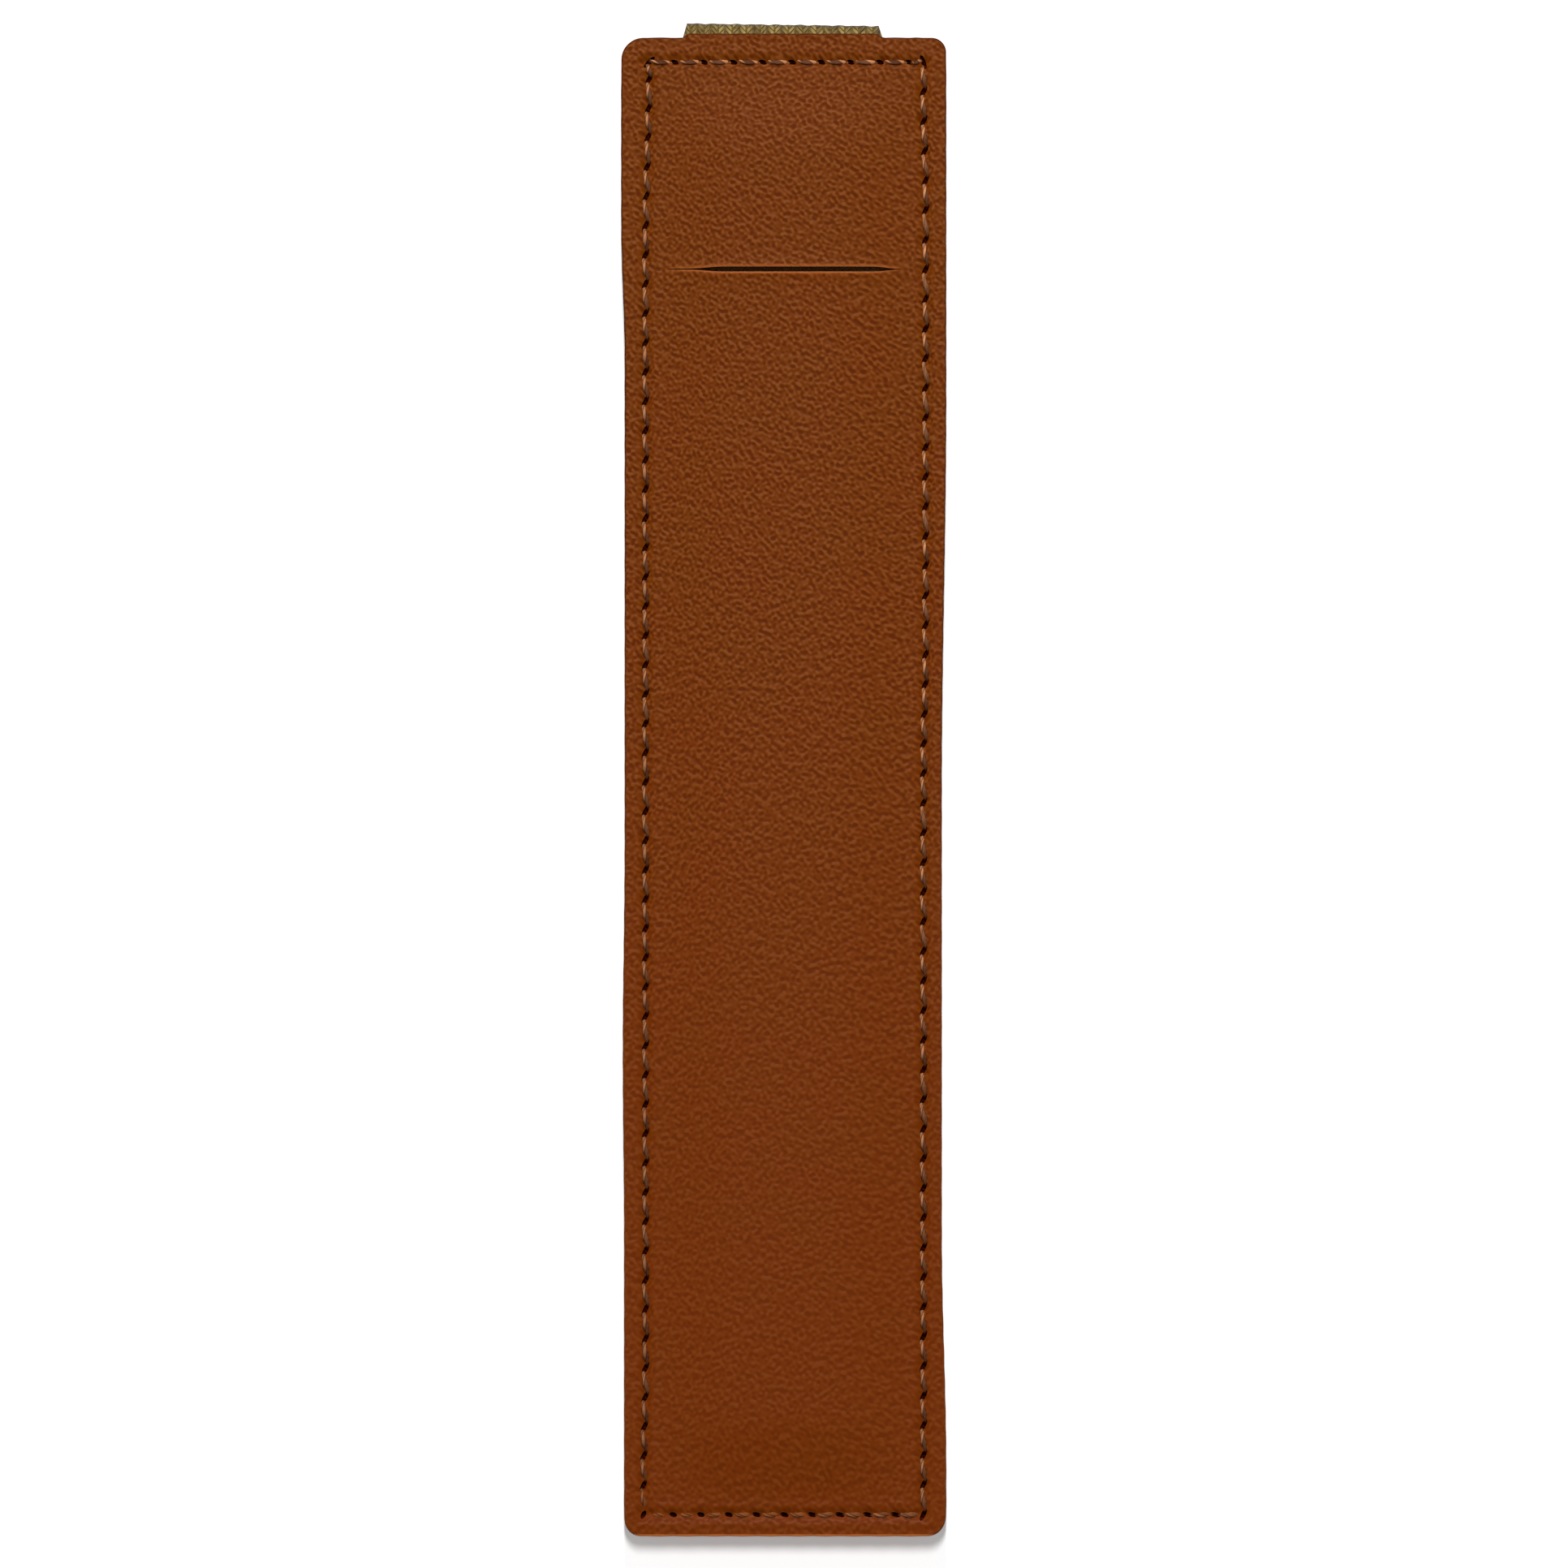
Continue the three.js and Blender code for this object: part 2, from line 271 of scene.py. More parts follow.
@dataclass
class PatternBook:
    """The shader groups that several finishes share, each built once."""

    grain_directions: tuple[float, float] = (math.radians(50), math.radians(128))
    grain_order: float = 0.65
    contrast: tuple[float, float] = (0.3, 0.7)
    mottle_cells: float = 0.1
    gap_share: float = 0.16
    fuzz_cells: float = 2.0

    def __post_init__(self) -> None:
        """Build the groups."""
        self.grain = self._leather_grain()
        self.yarn = self._yarn()

    def _leather_grain(self) -> bpy.types.NodeTree:
        """Build the pebble grain from two crossed families of waves.

        Returns:
            the group, which gives the height, pits, crests and a slow mottling, each from 0 to 1
        """
        number = "NodeSocketFloat"
        tree = new_group(
            "Leather grain",
            "ShaderNodeTree",
            {
                "Position": "NodeSocketVector",
                "Cells per metre": number,
                "Waves per cell": number,
                "Lean": number,
            },
            {"Height": number, "Pits": number, "Crests": number, "Mottle": number},
        )
        bench = NodeBench(tree)
        given = bench.add("NodeGroupInput").outputs
        families = [
            bench.add(
                "ShaderNodeTexGabor",
                {
                    "Vector": given["Position"],
                    "Scale": given["Cells per metre"],
                    "Frequency": given["Waves per cell"],
                    "Anisotropy": self.grain_order,
                    "Orientation": direction,
                },
                gabor_type="2D",
            ).outputs["Value"]
            for direction in self.grain_directions
        ]
        crossed = bench.add("ShaderNodeMix", {0: given["Lean"], 2: families[1], 3: families[0]}).outputs[0]
        height = bench.remap(crossed, *self.contrast, 0.0, 1.0)
        pits = bench.remap(height, 0.0, 0.5, 1.0, 0.0)
        crests = bench.remap(height, 0.5, 1.0, 0.0, 1.0)
        slow = bench.product(given["Cells per metre"], self.mottle_cells)
        mottle = bench.add(
            "ShaderNodeTexNoise",
            {"Vector": given["Position"], "Scale": slow, "Detail": 3.0, "Roughness": 0.6},
        ).outputs[0]
        spread = bench.remap(mottle, *self.contrast, 0.0, 1.0)
        bench.add(
            "NodeGroupOutput",
            {"Height": height, "Pits": pits, "Crests": crests, "Mottle": spread},
        )
        return tree

    def _yarn(self) -> bpy.types.NodeTree:
        """Build the short staggered strokes of spun or woven yarn.

        Returns:
            the group, which gives each stroke's shade, the gaps and a fine fuzz, each from 0 to 1
        """
        tree = new_group(
            "Yarn strokes",
            "ShaderNodeTree",
            {
                "Position": "NodeSocketVector",
                "Stroke length": "NodeSocketFloat",
                "Stroke width": "NodeSocketFloat",
            },
            {"Shade": "NodeSocketFloat", "Gaps": "NodeSocketFloat", "Fuzz": "NodeSocketFloat"},
        )
        bench = NodeBench(tree)
        given = bench.add("NodeGroupInput").outputs
        strokes = bench.add(
            "ShaderNodeTexBrick",
            {
                "Vector": given["Position"],
                "Color1": WHITE,
                "Color2": (0.0, 0.0, 0.0, 1.0),
                "Mortar": (0.3, 0.3, 0.3, 1.0),
                "Scale": 1.0,
                "Mortar Size": bench.product(given["Stroke width"], self.gap_share),
                "Mortar Smooth": 0.9,
                "Brick Width": given["Stroke length"],
                "Row Height": given["Stroke width"],
            },
            offset=0.5,
        )
        shade = bench.add("ShaderNodeRGBToBW", {0: strokes.outputs[0]}).outputs[0]
        scale = bench.math("DIVIDE", self.fuzz_cells, given["Stroke width"])
        fuzz = bench.add(
            "ShaderNodeTexNoise",
            {"Vector": given["Position"], "Scale": scale, "Detail": 2.0},
        ).outputs[0]
        bench.add("NodeGroupOutput", {"Shade": shade, "Gaps": strokes.outputs[1], "Fuzz": fuzz})
        return tree


def new_material(name: str) -> tuple[bpy.types.Material, NodeBench]:
    """Make an empty node material.

    Args:
        name: the material's name

    Returns:
        the material, and the bench to fill it
    """
    material = bpy.data.materials.new(name)
    material.use_nodes = True
    return material, NodeBench(material.node_tree)


@dataclass(frozen=True)
class LeatherFinish:
    """A dyed, grained or suede face of the leather."""

    name: str
    main: Colour
    pale: Colour
    # The next two colours are painted shade in the grain's pits and a painted highlight on its crests.
    pit_shade: Colour
    crest_highlight: Colour
    # Painted highlight on the foot edge and the lips of the mouth.
    edge_highlight: Colour
    cell: float
    relief: float
    roughness: float
    specular: float
    pit_shade_share: float = 0.54
    crest_highlight_share: float = 0.18
    mottle: float = 0.5
    foot_waves: float = 0.88
    mouth_waves: float = 1.07
    foot_lean: float = 0.5
    mouth_lean: float = 0.6
    lean_from: float = 0.3
    foot_relief: float = 0.5
    relief_full: float = 0.8
    matt_height: float = 0.2
    polish_height: float = 0.8
    pit_matt: float = 0.1
    crest_polish: float = 0.06

    def material(self, patterns: PatternBook, half_length: float) -> bpy.types.Material:
        """Build the material on Object coordinates, sheared by height to take the grain round the edges.

        A point attribute marks the foot edge and the lips of the mouth, where a painted highlight lightens
        the colour. The grain grows stronger towards the mouth end, with its painted shade and highlight.

        Args:
            patterns: the shared shader groups
            half_length: the distance from the sleeve's middle to the end of the leather

        Returns:
            the material
        """
        material, bench = new_material(self.name)
        position = bench.add("ShaderNodeTexCoord").outputs["Object"]
        place = bench.split(position)
        round_edges = bench.add(
            "ShaderNodeVectorMath",
            {0: place["Z"], 1: (1.0, -1.0, 0.0), 2: position},
            operation="MULTIPLY_ADD",
        ).outputs[0]
        to_mouth = bench.remap(place["Y"], -half_length, half_length, 0.0, 1.0)
        grain = bench.add(
            "ShaderNodeGroup",
            {
                "Position": round_edges,
                "Cells per metre": 1 / self.cell,
                "Waves per cell": bench.remap(to_mouth, 0.0, 1.0, self.foot_waves, self.mouth_waves),
                "Lean": bench.remap(to_mouth, self.lean_from, 1.0, self.foot_lean, self.mouth_lean),
            },
            node_tree=patterns.grain,
        ).outputs
        strength = bench.remap(to_mouth, 0.0, self.relief_full, self.foot_relief, 1.0)
        blotch = bench.product(bench.math("SUBTRACT", grain["Mottle"], 0.5), self.mottle)
        dyed = bench.mix(bench.math("ADD", to_mouth, blotch), self.main, self.pale)
        # Painted shade darkens the grain's pits and a painted highlight lightens its crests, both stronger
        # towards the mouth end.
        pit_shaded = bench.mix(bench.product(grain["Pits"], self.pit_shade_share, strength), dyed, self.pit_shade)
        grained = bench.mix(bench.product(grain["Crests"], self.crest_highlight_share, strength), pit_shaded, self.crest_highlight)
        # Painted highlight on the foot edge and the lips of the mouth.
        edge_lit = bench.mix(bench.attribute("edge_highlight"), grained, self.edge_highlight)
        matt = self.roughness + self.pit_matt
        polished = self.roughness - self.crest_polish
        rough = bench.remap(grain["Height"], self.matt_height, self.polish_height, matt, polished)
        normal = bench.bump(1.0, bench.product(strength, self.relief), grain["Height"])
        bench.end_material(edge_lit, rough, self.specular, normal)
        return material


@dataclass(frozen=True)
class ThreadFinish:
    """Twisted sewing thread, on the UV map that runs along and round each stitch."""

    name: str = "sewing_thread"
    main: Colour = screen_colour(72, 29, 10)
    # The colour that the painted highlight mixes towards.
    bright: Colour = screen_colour(208, 142, 96)
    # Painted shade in the grooves between the plies and on the thread's steep flanks.
    groove_shade: Colour = screen_colour(60, 24, 11)
    dyed: Colour = screen_colour(138, 78, 38)
    # Painted shade where the thread goes down into the needle holes.
    thread_hole_shade: Colour = screen_colour(66, 16, 8)
    roughness: float = 0.38
    specular: float = 0.1
    fibre_lean: float = math.radians(24)
    fibre_stretch: float = 3.0
    fibre_length: float = 0.9
    fibre_width: float = 0.11
    fibre_share: float = 0.14
    fibre_relief: float = 0.05 * MM
    relief_strength: float = 0.6
    ply_phase: float = 0.15
    ply_drift: float = 14.0
    ply_edge: float = 0.4
    groove_half: float = 0.5
    level_phase: float = 1.4
    level_turn: float = 8.65
    far_ply_share: float = 0.3
    # Where along each stitch the painted highlight begins and ends, and how strong it is there.
    dark_until: float = 0.28
    pale_from: float = 0.7
    dark_end_share: float = 0.02
    pale_end_share: float = 0.8
    # Strength of the painted highlight from the left row to the right one, and from the foot end to the
    # mouth end.
    left_share: float = 0.74
    right_share: float = 1.2
    foot_share: float = 0.68
    mouth_share: float = 1.3
    sunk_full: float = 0.7
    stain_share: float = 0.8
    # Where and how strongly painted shade darkens the thread's steep flanks and its ply grooves.
    flank_from: float = 0.75
    flank_full: float = 0.25
    groove_shade_share: float = 0.75
    side_middle: float = 0.52
    level_middle: float = 0.5
    shown_half: float = 0.22
    buried_half: float = 0.29
    level_extra: float = 0.03

    def material(self, patterns: PatternBook, row_x: float, row_y: float) -> bpy.types.Material:
        """Build the material: two plies, a painted highlight on one, painted shade in their grooves, fading
        to painted shade in the holes.

        Each stitch has a painted highlight at one end, or at both where its attribute "level" is 1. It is
        stained with the leather's dye where its attribute "sunk" rises. The painted highlight is stronger to
        the right and the mouth end.

        Args:
            patterns: the shared shader groups
            row_x: how far the rows stand off the sleeve's middle, across it
            row_y: how far they stand off it along the sleeve

        Returns:
            the material
        """
        material, bench = new_material(self.name)
        along_round = bench.add("ShaderNodeUVMap", uv_map="UVMap").outputs[0]
        on_strand = bench.split(along_round)
        on_sleeve = bench.split(bench.add("ShaderNodeTexCoord").outputs["Object"])
        shade = bench.attribute("shade")
        level = bench.attribute("level")
        yarn = self._fibres(bench, patterns, along_round)
        ply = self._plies(bench, on_strand, on_sleeve["X"], shade, level)

        # Painted highlight on the pale ply and at one end of each stitch (both ends on level stitches),
        # stronger to the right and towards the mouth end.
        far_ply = bench.remap(level, 0.0, 1.0, self.far_ply_share, 0.0)
        lit_ply = bench.math("MAXIMUM", bench.remap(ply, -self.ply_edge, self.ply_edge, 0.0, 1.0), far_ply)
        ends = (self.dark_end_share, self.pale_end_share)
        one_end = bench.remap(on_strand["X"], self.dark_until, self.pale_from, *ends)
        lit = bench.math("MAXIMUM", one_end, level)
        highlight_to_right = bench.remap(on_sleeve["X"], -row_x, row_x, self.left_share, self.right_share)
        highlight_to_mouth = bench.remap(on_sleeve["Y"], -row_y, row_y, self.foot_share, self.mouth_share)
        painted_highlight = bench.product(lit, lit_ply, highlight_to_right, highlight_to_mouth)
        spun = bench.product(bench.math("ADD", yarn["Shade"], shade), self.fibre_share)
        clean = bench.mix(bench.math("ADD", spun, painted_highlight), self.main, self.bright)

        stain = bench.remap(bench.attribute("sunk"), 0.0, self.sunk_full, 0.0, self.stain_share)
        stained = bench.mix(stain, clean, self.dyed)
        # Painted shade in the grooves between the plies and on the thread's steep flanks.
        groove_shade = bench.remap(bench.math("ABSOLUTE", ply), 0.0, self.groove_half, 1.0, 0.0)
        upright = bench.split(bench.add("ShaderNodeNewGeometry").outputs["Normal"])["Z"]
        flank_shade = bench.remap(bench.math("ABSOLUTE", upright), self.flank_full, self.flank_from, 1.0, 0.0)
        groove_and_flank_shade = bench.product(bench.math("MAXIMUM", groove_shade, flank_shade), self.groove_shade_share)
        plied = bench.mix(groove_and_flank_shade, stained, self.groove_shade)

        # Painted shade where the thread goes down into the needle holes.
        middle = bench.remap(level, 0.0, 1.0, self.side_middle, self.level_middle)
        from_middle = bench.math("ABSOLUTE", bench.math("SUBTRACT", on_strand["X"], middle))
        past_level = bench.math("SUBTRACT", from_middle, bench.product(level, self.level_extra))
        in_hole = bench.remap(past_level, self.shown_half, self.buried_half, 0.0, 1.0)
        colour = bench.mix(in_hole, plied, self.thread_hole_shade)
        gloss = bench.remap(bench.math("MAXIMUM", in_hole, stain), 0.0, 1.0, self.specular, 0.0)
        height = bench.math("SUBTRACT", yarn["Fuzz"], yarn["Gaps"])
        normal = bench.bump(self.relief_strength, self.fibre_relief, height)
        bench.end_material(colour, self.roughness, gloss, normal)
        return material

    def _fibres(
        self, bench: NodeBench, patterns: PatternBook, along_round: bpy.types.NodeSocket
    ) -> bpy.types.NodeOutputs:
        """Lay the yarn strokes along the thread, leaning with its twist.

        Args:
            bench: the material's bench
            patterns: the shared shader groups
            along_round: the UV map

        Returns:
            the yarn group's outputs
        """
        lean = (0.0, 0.0, self.fibre_lean)
        stretch = (self.fibre_stretch, 1.0, 1.0)
        leaning = bench.add("ShaderNodeMapping", {"Vector": along_round, "Rotation": lean, "Scale": stretch})
        strokes = {"Stroke length": self.fibre_length, "Stroke width": self.fibre_width}
        values = {"Position": leaning.outputs[0], **strokes}
        return bench.add("ShaderNodeGroup", values, node_tree=patterns.yarn).outputs

    def _plies(
        self,
        bench: NodeBench,
        on_strand: bpy.types.NodeOutputs,
        across: bpy.types.NodeSocket,
        shade: bpy.types.NodeSocket,
        level: bpy.types.NodeSocket,
    ) -> bpy.types.NodeSocket:
        """Tell the two plies apart, for the painted highlight that only the pale ply takes.

        Args:
            bench: the material's bench
            on_strand: the place along and round the strand
            across: the place across the sleeve
            shade: the stitch's own random number
            level: 1 on the stitches that show both plies alike, where the ply pattern turns faster along the
                stitch

        Returns:
            1 in the middle of the pale ply, -1 in that of the dark one, and 0 in the grooves
        """
        drift = bench.math("ADD", bench.product(across, self.ply_drift), shade)
        faster_turn = bench.product(bench.math("SUBTRACT", on_strand["X"], 0.5), self.level_turn)
        turned = bench.product(level, bench.math("SUBTRACT", self.level_phase, faster_turn))
        phase = bench.math("ADD", bench.math("ADD", drift, self.ply_phase), turned)
        return bench.math("COSINE", bench.math("ADD", bench.product(on_strand["Y"], FULL_TURN), phase))


@dataclass(frozen=True)
class ElasticFinish:
    """Woven elastic whose cut ends are melted shut with heat."""

    name: str = "woven_elastic"
    dark: Colour = screen_colour(92, 72, 33)
    bright: Colour = screen_colour(180, 156, 92)
    # Painted shade in the furrows between the ribs and in the gaps between the yarn strokes.
    furrow_shade: Colour = screen_colour(58, 38, 16)
    # Darker at the cut ends, partly from heat sealing and partly painted shade on the cut edge, and along
    # the selvedges.
    sealed_and_darkened: Colour = screen_colour(62, 46, 22)
    stroke_length: float = 0.55 * MM
    stroke_share: float = 0.32
    fuzz_share: float = 0.68
    fleck_dark: float = 0.2
    fleck_bright: float = 0.72
    # Strength of the painted shade in the furrows and gaps.
    gap_share: float = 0.4
    sealed_share: float = 0.85
    fuzz_height: float = 0.5
    yarn_relief: float = 0.12 * MM
    relief_strength: float = 0.9
    woven_roughness: float = 0.85
    sealed_roughness: float = 0.4
    woven_specular: float = 0.2
    sealed_specular: float = 0.5

    def material(self, patterns: PatternBook, rib: float, middle: float) -> bpy.types.Material:
        """Build the material on Object coordinates: yarn chevrons on the ribs, painted shade in the furrows,
        and darker cut ends.

        Args:
            patterns: the shared shader groups
            rib: the distance from rib to rib
            middle: the x of the strip's middle

        Returns:
            the material
        """
        material, bench = new_material(self.name)
        place = bench.split(bench.add("ShaderNodeTexCoord").outputs["Object"])
        across = bench.math("SUBTRACT", place["X"], middle)
        zigzag = bench.math("PINGPONG", across, rib / 2)
        chevron = bench.vector(bench.math("ADD", place["Y"], zigzag), across)
        strokes = {"Stroke length": self.stroke_length, "Stroke width": rib / 2}
        yarn = bench.add(
            "ShaderNodeGroup", {"Position": chevron, **strokes}, node_tree=patterns.yarn
        ).outputs
        even = bench.product(yarn["Shade"], self.stroke_share)
        flecked = bench.math("ADD", bench.product(yarn["Fuzz"], self.fuzz_share), even)
        fleck = bench.remap(flecked, self.fleck_dark, self.fleck_bright, 0.0, 1.0)
        woven = bench.mix(fleck, self.dark, self.bright)
        # Painted shade in the furrows between the ribs and in the gaps between the yarn strokes.
        furrow = bench.math("MAXIMUM", yarn["Gaps"], bench.attribute("furrow"))
        furrow_shaded = bench.mix(bench.product(furrow, self.gap_share), woven, self.furrow_shade)
        # Darker and glossier at the cut ends, partly from heat sealing and partly painted shade on the cut
        # edge, and along the selvedges.
        sealed_and_darkened = bench.attribute("sealed_and_darkened")
        colour = bench.mix(bench.product(sealed_and_darkened, self.sealed_share), furrow_shaded, self.sealed_and_darkened)
        rough = bench.remap(sealed_and_darkened, 0.0, 1.0, self.woven_roughness, self.sealed_roughness)
        gloss = bench.remap(sealed_and_darkened, 0.0, 1.0, self.woven_specular, self.sealed_specular)
        height = bench.math("SUBTRACT", bench.product(yarn["Fuzz"], self.fuzz_height), yarn["Gaps"])
        normal = bench.bump(self.relief_strength, self.yarn_relief, height)
        bench.end_material(colour, rough, gloss, normal)
        return material


@dataclass(frozen=True)
class FloorFinish:
    """A matt white floor that the camera sees as paper white, apart from the shadow on it."""

    name: str = "white_floor"
    paper: Colour = (0.9, 0.9, 0.9, 1.0)
    lift: float = 0.275

    def material(self) -> bpy.types.Material:
        """Build the material: a diffuse floor, with a little glow for the rays that show it.

        Returns:
            the material
        """
        material, bench = new_material(self.name)
        matt = bench.add("ShaderNodeBsdfDiffuse", {"Color": self.paper})
        rays = bench.add("ShaderNodeLightPath").outputs
        seen = bench.math("MAXIMUM", rays["Is Camera Ray"], rays["Is Glossy Ray"])
        glow = bench.add("ShaderNodeEmission", {"Color": WHITE, "Strength": bench.product(seen, self.lift)})
        both = bench.add("ShaderNodeAddShader", {0: matt.outputs[0], 1: glow.outputs[0]})
        bench.add("ShaderNodeOutputMaterial", {"Surface": both.outputs[0]})
        return material


# In each finish, the third and fourth colours are painted shade in the grain's pits and a painted highlight
# on its crests; the fifth is a painted highlight on the foot edge and the lips of the mouth.
GRAINED_LEATHER = LeatherFinish(
    name="grained_leather",
    main=screen_colour(114, 47, 0),
    pale=screen_colour(111, 51, 0),
    pit_shade=screen_colour(70, 14, 0),
    crest_highlight=screen_colour(178, 110, 56),
    edge_highlight=screen_colour(202, 114, 54),
    cell=0.72 * MM,
    relief=0.055 * MM,
    roughness=0.5,
    specular=0.055,
)
EDGE_LEATHER = LeatherFinish(
    name="painted_edge",
    main=screen_colour(114, 56, 20),
    pale=screen_colour(86, 39, 14),
    pit_shade=screen_colour(60, 24, 8),
    crest_highlight=screen_colour(132, 78, 42),
    edge_highlight=screen_colour(184, 106, 56),
    cell=0.6 * MM,
    relief=0.03 * MM,
    roughness=0.7,
    specular=0.03,
)
# The needle holes' walls, near black: painted shade for the holes' depth.
SHADED_HOLE_LEATHER = LeatherFinish(
    name="needle_hole",
    main=screen_colour(84, 20, 7),
    pale=screen_colour(92, 23, 8),
    pit_shade=screen_colour(54, 12, 4),
    crest_highlight=screen_colour(106, 34, 16),
    edge_highlight=screen_colour(92, 23, 8),
    cell=0.4 * MM,
    relief=0.03 * MM,
    roughness=0.9,
    specular=0.02,
)
FLESH_LEATHER = LeatherFinish(
    name="flesh_side",
    main=screen_colour(188, 138, 94),
    pale=screen_colour(196, 146, 102),
    pit_shade=screen_colour(140, 92, 56),
    crest_highlight=screen_colour(220, 180, 140),
    edge_highlight=screen_colour(196, 146, 102),
    cell=0.4 * MM,
    relief=0.05 * MM,
    roughness=0.88,
    specular=0.08,
)


@dataclass(frozen=True)
class SleeveSizes:
    """The sizes that the pieces share, read from the boxes of the CAD nodes."""

    width: float
    length: float
    front_inner: float
    front_outer: float
    back_inner: float
    back_outer: float
    row_x: float
    row_y: float
    elastic_left: float
    elastic_right: float
    elastic_top: float
    elastic_bottom: float
    elastic_thickness: float
    grip_top: float
    grip_bottom: float
    run_top: float
    run_bottom: float
    thread_width: float = 0.55 * MM

    @classmethod
    def from_frame(cls) -> "SleeveSizes":
        """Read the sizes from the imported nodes.

        Returns:
            the sizes
        """
        thread_width = cls.thread_width
        front_low, front_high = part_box("front_panel")
        back_low, back_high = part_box("back_panel")
        needle_low, needle_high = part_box("needle_thread")
        tab_low, tab_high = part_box("elastic_top_end")
        foot_low, foot_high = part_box("elastic_bottom_end")
        run_low, run_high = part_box("elastic_run")
        return cls(
            width=front_high.x - front_low.x,
            length=front_high.y - front_low.y,
            front_inner=front_low.z,
            front_outer=front_low.z + back_high.z - back_low.z,
            back_inner=back_high.z,
            back_outer=back_low.z,
            row_x=(needle_high.x - needle_low.x - thread_width) / 2,
            row_y=(needle_high.y - needle_low.y - thread_width) / 2,
            elastic_left=run_low.x,
            elastic_right=run_high.x,
            elastic_top=tab_high.y,
            elastic_bottom=foot_low.y,
            elastic_thickness=run_high.z - run_low.z,
            grip_top=tab_low.y,
            grip_bottom=foot_high.y,
            run_top=run_high.y,
            run_bottom=run_low.y,
        )


def place_in_scene(name: str, data: bpy.types.ID) -> bpy.types.Object:
    """Put a mesh, a lamp or a camera into the scene.

    Args:
        name: the object's name
        data: what it shows

    Returns:
        the object, at the origin
    """
    placed = bpy.data.objects.new(name, data)
    bpy.context.scene.collection.objects.link(placed)
    return placed


@dataclass
class ThinSheet:
    """A thin closed solid on a grid, with a rounded rim all round and, if asked, one slit across it.

    The plan gives the x and y of every grid crossing at an inset from the outline. The rows before and after
    a slit share their points outside its columns.
    """

    name: str
    plan: Plan
    upper: Height
    lower: Height
    rim: float
    rim_steps: int = 3
    slit_row: int | None = None
    slit_columns: tuple[int, int] = (0, 0)

    def build(self, materials: dict[SheetFace, bpy.types.Material]) -> bpy.types.Object:
        """Make the sheet's object.

        Args:
            materials: the material of each kind of face

        Returns:
            the object, at the origin, with its place in its mesh
        """
        x, y = self.plan(self.rim)
        upper_z = self.upper(x, y)
        lower_z = self.lower(x, y)
        upper_ids = self._ids(x.shape, 0)
        lower_ids = self._ids(x.shape, x.size)
        points = [np.stack([x.ravel(), y.ravel(), z.ravel()], axis=1) for z in (upper_z, lower_z)]
        quads = {
            SheetFace.UPPER: self._face_quads(upper_ids),
            SheetFace.LOWER: self._face_quads(lower_ids)[:, ::-1],
        }
        loops, loop_points = self._rim_loops(upper_ids, lower_ids, upper_z, lower_z)
        points.extend(loop_points)
        quads[SheetFace.RIM] = np.concatenate(
            [self._band_quads(outer, inner) for outer, inner in zip(loops[:-1], loops[1:])]
        )
        if self.slit_row is not None:
            quads[SheetFace.CUT] = self._slit_quads(upper_ids, lower_ids)
        return self._to_object(np.concatenate(points), quads, materials)

    def _ids(self, shape: tuple[int, int], first: int) -> Grid:
        """Number the points of one face, with the rows of the slit joined outside it.

        Args:
            shape: the grid's rows and columns
            first: the first number

        Returns:
            the number at every crossing
        """
        ids = np.arange(shape[0] * shape[1]).reshape(shape) + first
        if self.slit_row is not None:
            begin, end = self.slit_columns
            row = self.slit_row
            ids[row + 1, : begin + 1] = ids[row, : begin + 1]
            ids[row + 1, end:] = ids[row, end:]
        return ids

    def _face_quads(self, ids: Grid) -> Grid:
        """List the quads of one face.

        Args:
            ids: the face's point numbers

        Returns:
            the corners of each quad, anticlockwise from above
        """
        corners = [ids[:-1, :-1], ids[:-1, 1:], ids[1:, 1:], ids[1:, :-1]]
        quads = np.stack(corners, axis=2)
        if self.slit_row is not None:
            quads = np.delete(quads, self.slit_row, axis=0)
        return quads.reshape(-1, 4)

    def _outline_cells(self, ids: Grid) -> Grid:
        """Walk round the outline of a face.

        Args:
            ids: the face's point numbers

        Returns:
            the flat grid numbers of the outline, anticlockwise, each point once
        """
        cells = np.arange(ids.size).reshape(ids.shape)
        around = np.concatenate([cells[0, :-1], cells[:-1, -1], cells[-1, :0:-1], cells[:0:-1, 0]])
        numbers = ids.ravel()[around]
        return around[numbers != np.roll(numbers, 1)]

    def _rim_loops(
        self, upper_ids: Grid, lower_ids: Grid, upper_z: Grid, lower_z: Grid
    ) -> tuple[list[Grid], list[Grid]]:
        """Lay loops of points round the rim, from the upper face's outline to the lower one's.

        Args:
            upper_ids: point numbers of the upper face
            lower_ids: point numbers of the lower face
            upper_z: heights of the upper face
            lower_z: heights of the lower face

        Returns:
            the point numbers of every loop, and the points that are new
        """
        cells = self._outline_cells(upper_ids)
        angles = np.linspace(0, math.pi / 2, self.rim_steps + 1)[1:]
        levels = [(angle, upper_z.ravel()[cells], -1) for angle in angles]
        levels += [(angle, lower_z.ravel()[cells], 1) for angle in angles[::-1]]
        loops = [upper_ids.ravel()[cells]]
        loop_points = []
        first = 2 * upper_ids.size
        for angle, edge_z, direction in levels:
            x, y = self.plan(self.rim * (1 - math.sin(angle)))
            z = edge_z + direction * self.rim * (1 - math.cos(angle))
            loop_points.append(np.stack([x.ravel()[cells], y.ravel()[cells], z], axis=1))
            loops.append(np.arange(len(cells)) + first)
            first += len(cells)
        loops.append(lower_ids.ravel()[cells])
        return loops, loop_points

    @staticmethod
    def _band_quads(outer: Grid, inner: Grid) -> Grid:
        """Join two closed loops of equal count, the first one above the second."""
        return np.stack([outer, inner, np.roll(inner, -1), np.roll(outer, -1)], axis=1)

